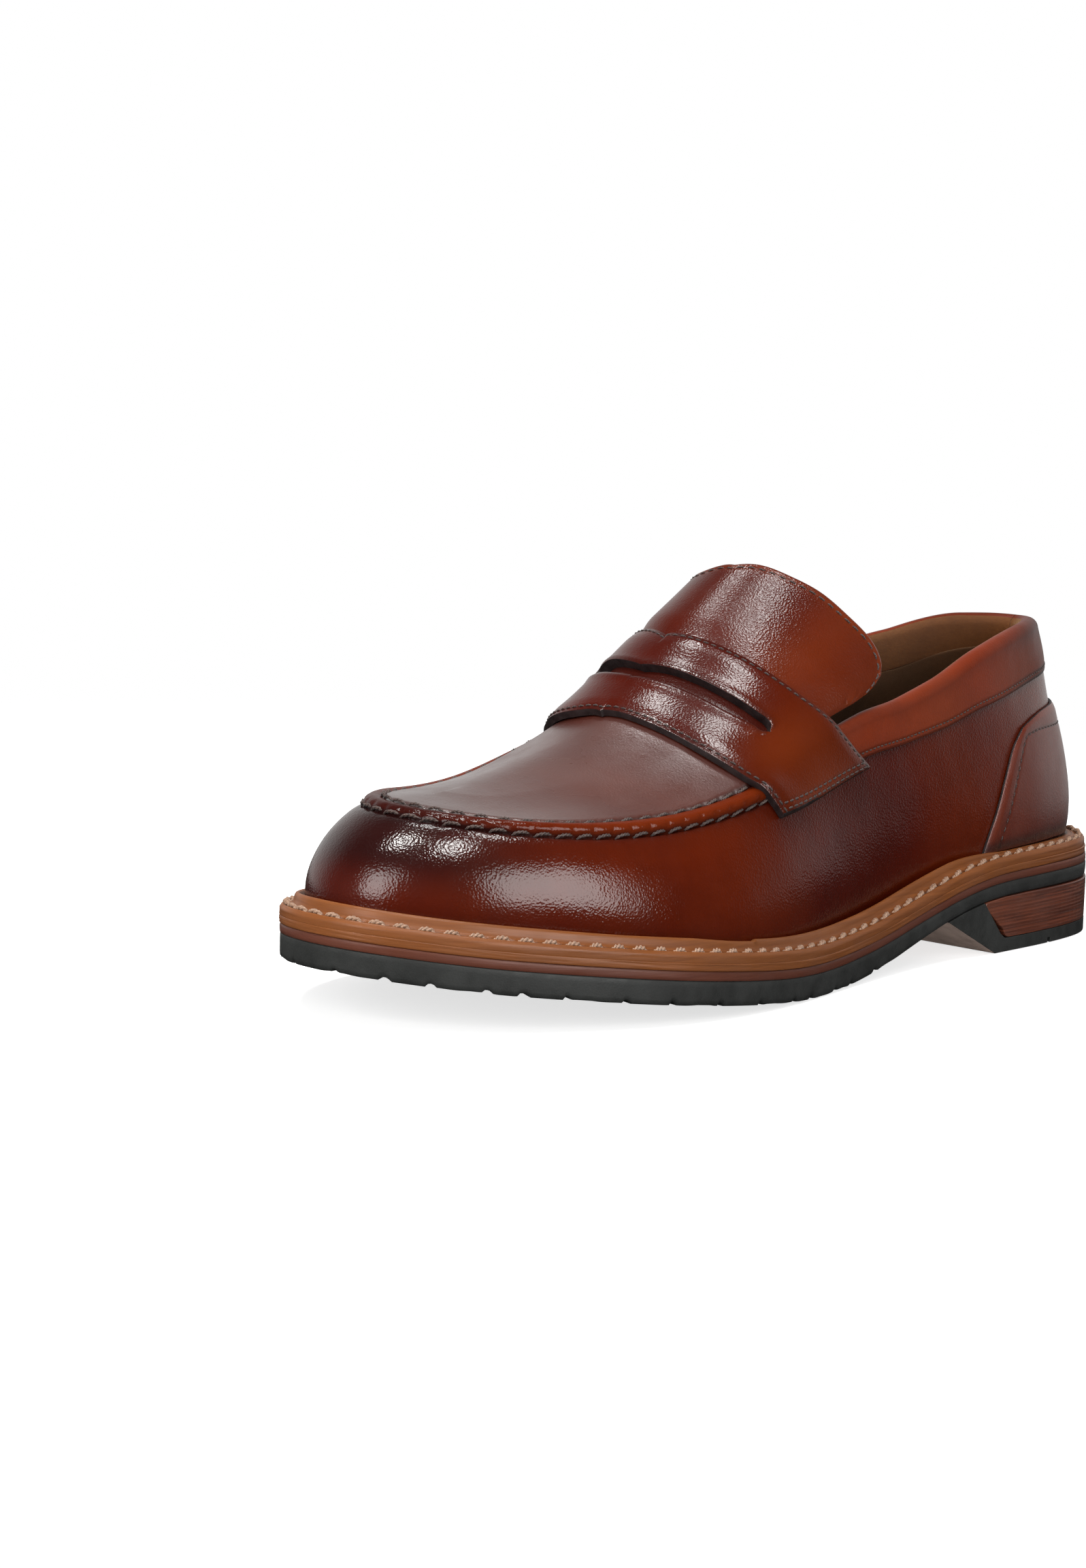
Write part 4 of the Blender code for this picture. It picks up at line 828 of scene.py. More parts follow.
def rubber(name, base):
    m = new_material(name)
    colour = m.mix(m.ramp(m.noise(scale=60, detail=5, rough=0.6), over=MIDDLE),
                   base, scaled(base, 1.7))
    dust = m.ramp(m.noise(scale=420, detail=5, rough=0.75), over=(0.62, 0.8))
    normal = m.bump(m.noise(scale=1800, rough=0.6), strength=0.3, distance=0.00018)
    return m.surface({
        "Base Color": m.mix(m.times(dust, 0.12), colour, (0.16, 0.15, 0.14)),
        "Roughness": m.ramp(m.noise(scale=200, detail=4), over=MIDDLE, to=(0.5, 0.68)),
        "Specular IOR Level": 0.35,
        "Normal": m.bump(m.noise(scale=160), strength=0.12, distance=0.0008, normal=normal)})


def pressed_lifts(name):
    """Heel block: stained layers pressed together."""
    m = new_material(name)
    grain = m.noise(scale=1.0, detail=6, rough=0.7, vec=m.mapping((26, 26, 760)), distortion=0.8)
    layers = m.node("TexWave", {"Scale": 1.0, "Distortion": 1.6, "Detail": 3,
                                "Vector": m.mapping((3, 3, 310))},
                    "Fac", wave_type="BANDS", bands_direction="Z")
    colour = m.mix(m.ramp(grain, over=(0.28, 0.72)), (0.058, 0.014, 0.007), (0.190, 0.048, 0.022))
    colour = m.mix(m.times(m.ramp(layers, over=(0.55, 0.95)), 0.35), colour,
                   (0.030, 0.008, 0.005))
    colour = m.mix(m.ramp(m.noise(scale=16, detail=2), over=(0.4, 0.7), to=(0.0, 0.35)),
                   colour, (0.19, 0.06, 0.03))
    normal = m.bump(grain, strength=0.25, distance=0.0004)
    return m.surface({
        "Base Color": colour,
        "Roughness": m.ramp(m.noise(scale=90, detail=4), over=MIDDLE, to=(0.30, 0.46)),
        "Coat Weight": 0.3,
        "Coat Roughness": 0.25,
        "Normal": m.bump(layers, strength=0.10, distance=0.0005, normal=normal)})


def yarn(name, base, light, roughness=0.55):
    m = new_material(name)
    fibres = m.noise(scale=2200, detail=4, rough=0.7)
    return m.surface({
        "Base Color": m.mix(m.ramp(fibres, over=(0.35, 0.75)), base, light),
        "Roughness": roughness,
        "Coat Weight": 0.15,
        "Coat Roughness": 0.3,
        "Sheen Weight": 0.15,
        "Normal": m.bump(fibres, strength=0.6, distance=0.0002)})


def plain_stuff(name, dark, light, roughness=0.8, metallic=0.0):
    m = new_material(name)
    return m.surface({
        "Base Color": m.mix(m.ramp(m.noise(scale=220, detail=5, rough=0.7), over=MIDDLE),
                            dark, light),
        "Roughness": roughness,
        "Metallic": metallic,
        "Normal": m.bump(m.noise(scale=700, detail=4), strength=0.4, distance=0.0003)})


COGNAC = leather(
    "cognac_leather", base=(0.071, 0.0046, 0.0006), deep=(0.038, 0.0022, 0.0003),
    warm=(0.175, 0.0240, 0.0028), roughness=0.40, coat=0.84, coat_roughness=0.11,
    specular=0.02, pebble=1.25)
COLLAR = leather(
    "collar_leather", base=(0.185, 0.0200, 0.0032), deep=(0.085, 0.0082, 0.0014),
    warm=(0.300, 0.052, 0.007), roughness=0.46, coat=0.20, coat_roughness=0.30,
    specular=0.10, pebble=0.7)
FOXING = leather(
    "foxing_leather", base=(0.120, 0.0120, 0.0026), deep=(0.070, 0.0060, 0.0014),
    warm=(0.240, 0.036, 0.006), roughness=0.42, coat=0.60, coat_roughness=0.24,
    specular=0.30, pebble=0.7)
STRAP = leather(
    "strap_leather", base=(0.064, 0.0046, 0.0007), deep=(0.034, 0.0021, 0.0004),
    warm=(0.280, 0.046, 0.005), roughness=0.36, coat=0.82, coat_roughness=0.15,
    specular=0.04)
TONGUE = leather(
    "tongue_leather", base=(0.068, 0.0054, 0.0009), deep=(0.036, 0.0026, 0.0006),
    warm=(0.240, 0.038, 0.005), roughness=0.38, coat=0.74, coat_roughness=0.17,
    specular=0.06, pebble=1.35, grain=0.9)
APRON = leather(
    "apron_leather", base=(0.068, 0.0105, 0.0040), deep=(0.046, 0.0062, 0.0024),
    warm=(0.180, 0.028, 0.004), roughness=0.42, coat=1.0, coat_roughness=0.25,
    specular=0.65, pebble=0.7)
EDGE_DARK = edge_paint("edge_paint", colour=(0.010, 0.006, 0.006))
# two copies of one tan suede: the darker one is painted shade, for the linings deep inside the
# shoe; the paler one is painted light, for the inside of the collar's roll
SHADED_LINING = suede("tan_lining", base=(0.058, 0.0200, 0.0040), dark=(0.032, 0.0104, 0.0021))
LIT_LINING = suede("tan_lining_lit", base=(0.125, 0.040, 0.0072), dark=(0.070, 0.021, 0.0038))
SOCK_LEATHER = suede("sock_leather", base=(0.175, 0.078, 0.028), dark=(0.12, 0.048, 0.016))
HONEY_EDGE = cut_leather("honey_edge", base=(0.232, 0.072, 0.0155), dark=(0.120, 0.034, 0.008))
RED_EDGE = cut_leather("red_midsole", base=(0.125, 0.036, 0.019), dark=(0.070, 0.018, 0.012),
                       stripe=0.6)
RUBBER = rubber("black_rubber", base=(0.0150, 0.0160, 0.0152))
HEEL_STACK = pressed_lifts("heel_stack")
# the breast's own dusty grey-brown, made paler to make up for the shade under the sole: partly
# painted light
BREAST = rubber("heel_breast", base=(0.230, 0.168, 0.140))
DARK_YARN = yarn("dark_thread", base=(0.018, 0.007, 0.005), light=(0.10, 0.050, 0.036))
FINE_YARN = yarn("fine_thread", base=(0.014, 0.006, 0.005), light=(0.060, 0.028, 0.020))
PALE_YARN = yarn("pale_thread", base=(0.235, 0.125, 0.072), light=(0.44, 0.275, 0.180),
                 roughness=0.5)
BOARD = plain_stuff("board", dark=(0.20, 0.12, 0.07), light=(0.32, 0.22, 0.13))
CORK = plain_stuff("cork", dark=(0.16, 0.09, 0.05), light=(0.34, 0.20, 0.11))
FOAM = plain_stuff("foam", dark=(0.55, 0.50, 0.40), light=(0.70, 0.66, 0.55))
STEEL = plain_stuff("steel", dark=(0.30, 0.30, 0.31), light=(0.42, 0.42, 0.43),
                    roughness=0.35, metallic=1.0)

# the CAD pieces that stay as they are
for node_name, node_mat in (
        ("insole_board", BOARD), ("toe_puff", BOARD), ("heel_counter", BOARD),
        ("forepart_filler", CORK), ("shank", STEEL), ("collar_padding_lateral", FOAM),
        ("collar_padding_medial", FOAM), ("vamp_lining", SHADED_LINING)):
    node_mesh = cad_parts[node_name].data
    node_mesh.materials.clear()
    node_mesh.materials.append(node_mat)


# ---------------------------------------------------------------- the seam joining apron and vamp
seam_stations = np.linspace(7.62, 21.22, 1500)
low_path = body(seam_stations, seam_low(seam_stations))
high_path = body(seam_stations, seam_high(seam_stations))
low_length, high_length = run_length(low_path), run_length(high_path)


def seam_step(length):
    """The stitch pitch that divides a seam evenly."""
    return length[-1] / round(length[-1] / SEAM_PITCH)


def dents(stations, length, width):
    """1 where a stitch pulls the leather in, 0 between."""
    step = seam_step(length)
    distance = np.interp(stations, seam_stations, length)
    return bell((distance + step / 2) % step - step / 2, width)


def seam_on(stations):
    """1 along the seam, fading out at both ends."""
    return smooth(7.35, 8.05, stations) * (1 - smooth(20.75, 21.5, stations))


# ---------------------------------------------------------------- vamp and quarters, one wrap
# mm below the top edge of the grid's upper rows
VAMP_ROWS = [6.0, 5.0, 4.2, 3.5, 2.9, 2.4, 2.0, 1.6, 1.3, 1.0, 0.75, 0.5, 0.25, 0.0]


def vamp():
    stations = even(0.0, LAP, detail(760) + 1)[:-1]
    zone = smooth(6.3, 7.2, stations) * (1 - smooth(21.8, 22.7, stations))
    top_rise = (collar_edge(stations) - 0.006) * (1 - zone) + (seam_low(stations) + 0.006) * zone
    rises, lengths = rib_lengths(stations, -0.03, top_rise)
    full = lengths[:, -1:]
    share = np.linspace(0, 1, detail(40))[None, :-1]
    from_foot = np.concatenate([(full - VAMP_ROWS[0]) * share, full - np.array(VAMP_ROWS)], 1)
    from_top = full - from_foot
    rise = rise_at(rises, lengths, from_foot)
    last = body(stations[:, None], rise)
    normal = body_normal(stations[:, None], rise)
    seam = (seam_on(stations) * zone)[:, None]

    height = 0.16 * wobble(last, size=24.0, seed=0.3) + 0.05 * wobble(last, size=6.0, seed=1.1)
    # the leather sinks into the seam, deeper at each stitch
    sunk = 0.75 * bell(from_top + 0.1, 0.85) + 0.22 * bell(from_top, 2.2)
    pulled = 0.35 * dents(stations, low_length, width=1.25)[:, None] * bell(from_top, 1.5)
    height = height - seam * (sunk + pulled)
    # a small roll above the welt and a groove beside it
    height = height + 0.35 * bell(from_foot - 2.2, 1.6) - 0.25 * bell(from_foot, 1.2)
    thickness = 1.6 - 0.55 * seam * bell(from_top, 1.0)

    # dark at the toe, along the seam, beside the welt and under the collar
    toe = smooth(238, 292, last[..., 0])
    burnish_and_shade = toe * (0.22 + 0.66 * smooth(0.18, 0.50, rise))
    burnish_and_shade = burnish_and_shade + seam * (0.55 * bell(from_top, 1.4) + 0.18 * bell(from_top, 4.0))
    burnish_and_shade = burnish_and_shade + 0.45 * bell(from_foot - 0.8, 1.8) + (1 - seam) * 0.5 * bell(from_top, 1.2)
    warm = 0.25 * np.clip(wobble(last, size=30.0, seed=2.0), 0, 1) * (1 - toe)
    sheet("vamp_wall_leather", last + normal * height[..., None],
          last - normal * thickness[..., None], [COGNAC, EDGE_DARK], wrap=True, back_mat=1,
          attrs=finish_and_shade(np.clip(burnish_and_shade, 0, 0.93), warm), replaces=["vamp_wall"],
          slot="cognac_leather")


vamp()

# ---------------------------------------------------------------- apron with its raised rim
# mm up from the lower seam of the grid's first rows, where the seam rows are 5.5 mm apart
BEAD_ROWS = np.array([
    -0.45, -0.2, 0.0, 0.15, 0.3, 0.45, 0.62, 0.82, 1.05, 1.35, 1.7, 2.1, 2.6, 3.1, 3.6, 4.05,
    4.4, 4.7, 5.0, 5.25, 5.5, 5.75, 6.0, 6.3, 6.7, 7.2, 7.8, 8.6, 9.6])
SEAM_GAP = 5.5
# (mm up from the lower seam, height)
rim_profile = curve([
    (-0.6, -1.2), (-0.2, -0.9), (0.0, -0.45), (0.25, 0.45), (0.5, 1.15), (0.8, 1.65), (1.2, 2.0),
    (1.7, 2.2), (2.3, 2.25), (3.0, 2.05), (3.6, 1.7), (4.2, 1.2), (4.7, 0.65), (5.1, 0.15),
    (5.5, -0.12), (5.9, 0.0), (6.4, 0.28), (7.2, 0.38), (8.4, 0.22), (10.0, 0.05), (30.0, 0.0)])


def apron_half(stations):
    """One side of the apron: distance from the lower seam, outer and inner grid, last's run."""
    rises, lengths = rib_lengths(stations, seam_low(stations), 2.0, count=300)
    seam_gap = np.array([np.interp(high, rises[i], lengths[i])
                         for i, high in enumerate(seam_high(stations))])
    scale = np.clip(seam_gap / SEAM_GAP, 0.6, 1.5)[:, None]
    bead = BEAD_ROWS[None, :] * scale
    share = np.linspace(0, 1, detail(34) + 1)[1:] ** 1.15
    dome = bead[:, -1:] + (lengths[:, -1:] - bead[:, -1:]) * share[None, :]
    distance = np.concatenate([bead, dome], 1)
    rise = rise_at(rises, lengths, distance)
    rise[:, -1] = 2.0
    distance = distance / scale
    last = body(stations[:, None], rise)
    normal = body_normal(stations[:, None], rise)

    fade = 0.28 + 0.72 * seam_on(stations)[:, None]
    low_toe = 1 - 0.50 * smooth(252, 282, last[..., 0])
    height = rim_profile(np.minimum(distance, 29)) * fade
    height = np.where(height > 0,
                      height * 0.84 * np.where(distance < SEAM_GAP, low_toe, 1.0), height)
    # stitches pull in the rim's foot and its upper seam
    low_dents = dents(stations, low_length, width=1.15)[:, None]
    high_dents = dents(stations, high_length, width=1.0)[:, None]
    foot = smooth(-0.2, 0.6, distance) * (1 - smooth(0.8, 2.4, distance))
    height = height - 0.38 * low_dents * foot * fade
    height = height - 0.22 * high_dents * bell(distance - SEAM_GAP, 1.1)
    uneven = 0.14 * wobble(last, size=26.0, seed=0.7) + 0.04 * wobble(last, size=6.0, seed=1.9)
    height = height + uneven * smooth(5.5, 9.0, distance)
    inside = -1.6 + np.where(distance < 4.5, np.clip(height * 0.5, 0, 1.0), 0)
    return (distance, last + normal * height[..., None], last + normal * inside[..., None],
            last[..., 0])


def apron():
    outer_stations = np.r_[even(6.75, 7.5, detail(14), rise=1.0)[:-1],
                           even(7.5, 14.345, detail(330), rise=1.0)]
    outer_half = apron_half(outer_stations)
    inner_half = apron_half(inner_facing(ridge_run(outer_stations)))
    distance, outside, inside, run = (
        np.concatenate([a, b[:, ::-1][:, 1:]], 1) for a, b in zip(outer_half, inner_half))
    # close the ridge, and the toe, where the last rib of both sides is the same one
    middle = outer_half[0].shape[1] - 1
    for grid, one, other in ((outside, outer_half[1], inner_half[1]),
                             (inside, outer_half[2], inner_half[2])):
        grid[:, middle] = 0.5 * (one[:, -1] + other[:, -1])
        grid[-1] = 0.5 * (grid[-1] + grid[-1][::-1])
    rim = 1 - smooth(4.9, 5.6, distance)
    # dark at the toe, along the upper seam and on the rim's cut foot
    burnish_and_shade = 0.30 * smooth(225, 262, run) * (1 - rim) + 0.78 * smooth(252, 285, run) * rim
    burnish_and_shade = burnish_and_shade + 0.75 * bell(distance - SEAM_GAP, 0.7) + 0.7 * bell(distance, 0.35)
    warm = rim * (0.50 - 0.42 * smooth(228, 268, run))
    sheet("apron_leather_panel", outside, inside, [APRON, COGNAC, EDGE_DARK],
          cell_mat=np.where(distance[:-1, :-1] < 5.3, 1, 0), back_mat=2,
          attrs=finish_and_shade(np.clip(burnish_and_shade, 0, 0.92), warm, 0.50 * rim),
          replaces=["apron"], slot="apron_leather")


def apron_stitches():
    stitches("moc_thread_lower", low_path, body_normal(seam_stations, seam_low(seam_stations)),
             pitch=seam_step(low_length), length=5.2, radius=0.46, lift=0.36, sink=0.70,
             slant=0.40, seg=9, sides=7, twist=2.3, mat=DARK_YARN, replaces=["moc_stitch_vamp"])
    normals = body_normal(seam_stations, seam_high(seam_stations))
    height = 0.12 + 0.30 * smooth(240, 275, high_path[:, 0])
    stitches("moc_thread_upper", high_path + normals * height[:, None], normals,
             pitch=seam_step(high_length), length=4.5, radius=0.42, lift=0.42, sink=0.62,
             slant=0.25, seg=9, sides=7, twist=2.0, mat=DARK_YARN, replaces=["moc_stitch_apron"])


apron()
apron_stitches()

# ---------------------------------------------------------------- strap
END_ROWS = (2.0, 3.8)        # mm in from each end of the strap to its rows of stitches
EDGE_ROW = 1.25              # and from its long edges
CREASE_RISE = 0.93           # where the strap swells over the rim of the apron


def strap_grid():
    """The strap's grid: rows across it, in two halves parted by the slot; columns along it."""
    share_outer = np.linspace(0, 1, detail(170))
    share_inner = np.linspace(0, 1, detail(150))
    rise = np.r_[STRAP_END + (2.0 - STRAP_END) * share_outer,
                 (2.0 - (2.0 - STRAP_END) * share_inner)[1:]]
    on_outer = np.arange(len(rise)) < len(share_outer)

    def pick(outer_curve, inner_curve):
        return np.where(on_outer, outer_curve(rise), inner_curve(rise))

    rear = pick(strap_rear_outer, strap_rear_inner)
    front = pick(strap_front_outer, strap_front_inner)
    slot_half = pick(slot_half_outer, slot_half_inner)
    slot_middle = np.where(on_outer, -0.035 + slot_outer(np.clip(rise, 1.3, 2)).mean(-1),
                           0.035 + slot_inner(np.clip(rise, 1.35, 2)).mean(-1))
    to_slot = np.where(on_outer, smooth(0.95, 1.3, rise), smooth(0.95, 1.35, rise))
    centre = 0.5 * (rear + front) * (1 - to_slot) + slot_middle * to_slot
    towards_toe = np.where(on_outer, 1.0, -1.0)
    slot_rear, slot_front = centre - towards_toe * slot_half, centre + towards_toe * slot_half
    half_rows = detail(26)
    linear = np.linspace(0, 1, half_rows)
    share = (0.35 * (0.5 - 0.5 * np.cos(np.pi * linear)) + 0.65 * linear)[:, None]
    stations = np.concatenate([rear + (slot_rear - rear) * share,
                               slot_front + (front - slot_front) * share], 0)
    last, normal = body(stations, rise), body_normal(stations, rise)
    from_rear, along = run_length(last, axis=0), run_length(last, axis=1)
    from_front = from_rear[-1] - from_rear
    keep = np.ones((stations.shape[0] - 1, stations.shape[1] - 1), bool)
    no_slot = np.abs(slot_front - slot_rear) < 1e-9
    keep[half_rows - 1, :] = no_slot[:-1] & no_slot[1:]
    to_slot_edge = np.minimum(np.abs(from_rear - from_rear[half_rows - 1]),
                              np.abs(from_rear - from_rear[half_rows]))
    grid = SimpleNamespace(
        rise=rise, on_outer=on_outer, rear=rear, front=front, half_rows=half_rows, last=last,
        normal=normal, along=along, keep=keep, from_rear=from_rear, from_front=from_front,
        from_side=np.minimum(from_rear, from_front),
        from_end=np.minimum(along, along[:, -1:] - along),
        from_slot=np.where(slot_half > 0, to_slot_edge, 9.0), slotted=slot_half > 0.02)
    grid.from_edge = np.minimum(grid.from_side, grid.from_end)
    grid.swell = bell(rise - CREASE_RISE, 0.10) * smooth(12, 0, from_front)
    # rounded edges with a groove for the stitches, and a slightly raised middle
    top = 2.9 - 0.55 * bell(grid.from_edge, 1.0) - 0.16 * bell(grid.from_edge - EDGE_ROW, 0.4)
    top = top + 0.30 * smooth(1.5, 5.0, grid.from_side)
    # a raised surround to the slot, rounded at its edge
    top = top + (0.45 * bell(grid.from_slot, 2.2) - 0.35 * bell(grid.from_slot, 0.6)) * grid.slotted
    top = top + 0.75 * grid.swell + 0.12 * wobble(last, size=20.0, seed=0.9)
    # thinned ends, dented by their stitches
    top = top - 1.15 * smooth(1.0, 0.0, grid.from_end)
    for row in END_ROWS:
        top = top - 0.15 * bell(grid.from_end - row, 0.5) * smooth(2.0, 3.5, grid.from_side)
    grid.top = last + normal * top[..., None]
    return grid


def strap_leather(grid):
    bottom = 0.25 + 0.6 * grid.swell
    patches = 0.5 + 0.5 * smooth(0.0, 1.0, wobble(grid.last, size=16, seed=1.4))
    warm = 0.22 * (1 - smooth(0.75, 1.35, grid.rise)) * patches
    off_middle = (grid.from_rear - grid.from_front) / (grid.from_rear + grid.from_front)
    glow = np.where(grid.on_outer, 0.22 * bell(grid.rise - 1.12, 0.20), 0.0)
    warm = warm + glow * bell(off_middle, 0.8)
    burnish_and_shade = 0.40 * bell(grid.from_slot, 1.4) * grid.slotted
    burnish_and_shade = burnish_and_shade + 0.30 * bell(grid.from_edge - EDGE_ROW, 0.6) + 0.35 * bell(grid.from_edge, 0.8)
    # edge paint 0.85 mm onto the top at each end: partly the dark cut edge, partly painted shadow
    # under the end
    near_end = np.minimum(grid.from_end[:, :-1], grid.from_end[:, 1:])[:-1] < 0.85
    sheet("strap_leather", grid.top, grid.last + grid.normal * bottom[..., None],
          [STRAP, EDGE_DARK], cell_mat=np.where(near_end, 1, 0), back_mat=1, keep=grid.keep,
          attrs=finish_and_shade(burnish_and_shade, warm), bevel=dict(width=0.42, segments=3, angle=48),
          replaces=["strap"], slot="cognac_leather")


def strap_backing(grid):
    """The layer seen through the slot, darkened all over: painted shade under the strap."""
    stations = np.array([grid.rear + (grid.front - grid.rear) * k
                         for k in np.linspace(0.05, 0.95, 20)])
    rise = np.clip(grid.rise, STRAP_END + 0.03, 2)
    sheet("strap_backing", skin(stations, rise, 0.30 + 0.5 * bell(rise - CREASE_RISE, 0.1)),
          skin(stations, rise, 0.05), [TONGUE], attrs=finish_and_shade(0.30 + 0 * stations, dull=0.3),
          slot="cognac_leather")


def strap_stitches(grid):
    thread = dict(pitch=2.45, length=2.0, radius=0.27, lift=0.16)
    columns = grid.rise > STRAP_END + 0.008
    top, normal = (each.swapaxes(0, 1)[columns] for each in (grid.top, grid.normal))
    for side, distance in (("rear", grid.from_rear), ("front", grid.from_front)):
        distance = distance.T[columns]
        name = "strap_stitch_" + side
        stitches("thread_" + name, read_at(EDGE_ROW, distance, top),
                 read_at(EDGE_ROW, distance, normal), slant=0.06, replaces=[name], **thread)
    for side, end in (("lateral", 0), ("medial", -1)):
        name = "strap_end_stitch_" + side
        rows = ~((grid.from_rear[:, end] < 1.2) | (grid.from_front[:, end] < 1.2))
        rows[grid.half_rows] = False
        distance = (grid.along if end == 0 else grid.along[:, -1:] - grid.along)[rows]
        for suffix, inset in zip(("_a", "_b"), END_ROWS):
            stitches("thread_" + name + suffix, read_at(inset, distance, grid.top[rows]),
                     read_at(inset, distance, grid.normal[rows]), replaces=[name], **thread)


strap = strap_grid()
strap_leather(strap)
strap_backing(strap)
strap_stitches(strap)

# ---------------------------------------------------------------- tongue
TONGUE_ROW = 1.9             # mm in from the tongue's edge to its stitches
# (rise, station) of the tongue's rear edge on the outer side
tongue_edge = curve([
    (1.085, 6.30), (1.092, 5.80), (1.11, 5.34), (1.15, 5.08), (1.20, 4.975), (1.27, 4.935),
    (1.45, 4.96), (1.6, 4.93), (1.75, 4.89), (1.9, 4.77), (2.0, 4.70)])
# (rise, stations): how much further forward the edge lies on the inner side
tongue_inner_shift = curve([
    (1.0, 0), (1.2, 0), (1.3, 0.08), (1.45, 0.20), (1.6, 0.33), (1.7, 0.36), (1.8, 0.34),
    (1.9, 0.23), (2.0, 0)])
# a blend from the shoe to the flap, from just below this point of the world to a little above
# it; register only bakes in place the transform of the pieces given it
FLAP_POINT = np.array([-0.0085, -0.0155, 0.0915])
FLAP_DIRECTION = np.array([0.0, 0.7071, 0.7071])
FLAP_BLEND = (SHOE, FLAP, tuple(FLAP_POINT - 0.002 * FLAP_DIRECTION),
              tuple(FLAP_POINT + 0.008 * FLAP_DIRECTION))


def tongue():
    half_rise = np.r_[1.095, 1.11, 1.13, 1.16, np.linspace(1.20, 2.0, detail(70))]
    rear = tongue_edge(half_rise)
    front = strap_rear_outer(half_rise) + 0.35
    front[0] = rear[0] + 0.30
    front = np.maximum(front, rear + 0.3)
    rear_inner = inner_facing(
        ridge_run(rear + tongue_inner_shift(half_rise))[::-1][1:])
    front_inner = inner_facing(ridge_run(front)[::-1][1:])
    forward = np.linspace(0, 1, detail(64))[:, None]
    stations = np.r_[rear, rear_inner] * (1 - forward) + np.r_[front, front_inner] * forward
    rise = np.r_[half_rise, half_rise[::-1][1:]]
    last, normal = body(stations, rise), body_normal(stations, rise)
    # padding swells it, most on the inner side of the ridge
    on_inner = stations > TOE_STATION
    off_ridge = np.where(on_inner, 2 - rise, rise - 2)
    spread = np.where(off_ridge > 0.42, 0.40, 0.62)
    puff = (3.0 * np.exp(-((off_ridge - 0.42) / spread) ** 2)
            * smooth(1.02, 0.55, forward) * smooth(1.08, 1.35, rise))
    last = last + normal * puff[..., None]
    from_rear, from_side = run_length(last, axis=0), run_length(last, axis=1)
    from_side = np.minimum(from_side, from_side[:, -1:] - from_side)
    from_edge = np.minimum(from_rear, from_side)

    # a groove under the stitches, a slight bead outside it, a rounded edge
    height = 0.10 * wobble(last, size=18.0, seed=1.3) - 0.16 * bell(from_edge - TONGUE_ROW, 0.5)
    height = height + 0.10 * bell(from_edge - 0.9, 0.6) - 0.30 * bell(from_edge, 0.5)
    top = last + normal * height[..., None]
    # darker in the stitch groove, and towards the front, where the tongue runs under the strap:
    # painted shade there
    burnish_and_shade = 0.25 * bell(from_edge - TONGUE_ROW, 0.45) + 0.45 * smooth(0.86, 1.0, forward)
    warm = 0.25 * bell(from_edge - 1.2, 1.4) + 0.2 * smooth(1.35, 1.12, rise)
    warm = warm + np.where(stations < TOE_STATION, 0.22 * bell(rise - 1.42, 0.16), 0.0)
    sheet("tongue_leather", top, last - normal * 1.5, [TONGUE, EDGE_DARK], back_mat=1,
          attrs=finish_and_shade(burnish_and_shade, warm), bevel=dict(width=0.40, segments=3, angle=48),
          blend=FLAP_BLEND, replaces=["tongue"], slot="cognac_leather")
    lining_back = (2.55 - 0.4 * bell(from_edge, 0.8))[..., None]
    sheet("tongue_suede", last - normal * 1.55, last - normal * lining_back, [SHADED_LINING, SHADED_LINING],
          bevel=dict(width=0.30, segments=2, angle=48), blend=FLAP_BLEND,
          replaces=["tongue_lining"], slot="tan_lining")

    nearest = np.argmin(np.abs(from_rear - TONGUE_ROW), axis=0)
    columns = from_side[nearest, np.arange(len(rise))] > 1.7
    path, normals = (read_at(TONGUE_ROW, from_rear.T[columns], each.swapaxes(0, 1)[columns])
                     for each in (top, normal))
    stitches("thread_tongue_stitch", path, unit(normals), pitch=3.1, length=2.6, radius=0.27,
             lift=0.14, twist=1.3, blend=FLAP_BLEND, replaces=["tongue_stitch"])


tongue()

# ---------------------------------------------------------------- heel patch
FOXING_ROW = 6.6             # mm in from the patch's edge to its stitches
# (rise, station) of the patch's sides; (station, rise) of its top
foxing_side = curve([
    (0.0, 3.36), (0.07, 3.30), (0.17, 3.17), (0.28, 3.02), (0.39, 2.84), (0.47, 2.64),
    (0.52, 2.42)])
foxing_top = curve([
    (-2.42, 0.520), (-1.90, 0.560), (-1.26, 0.592), (-0.6, 0.602), (0.0, 0.604), (0.6, 0.602),
    (1.26, 0.592), (1.90, 0.560), (2.42, 0.520)])


def side_rows(level, from_side, from_top):
    """Rows of the patch whose stitch, level mm in from the side, is below the top row."""
    rows = []
    half = from_side.shape[1] // 2
    for i in range(2, len(from_side)):
        if from_top[i, np.argmin(np.abs(from_side[i, :half] - level))] < level:
            break
        rows.append(i)
    return rows


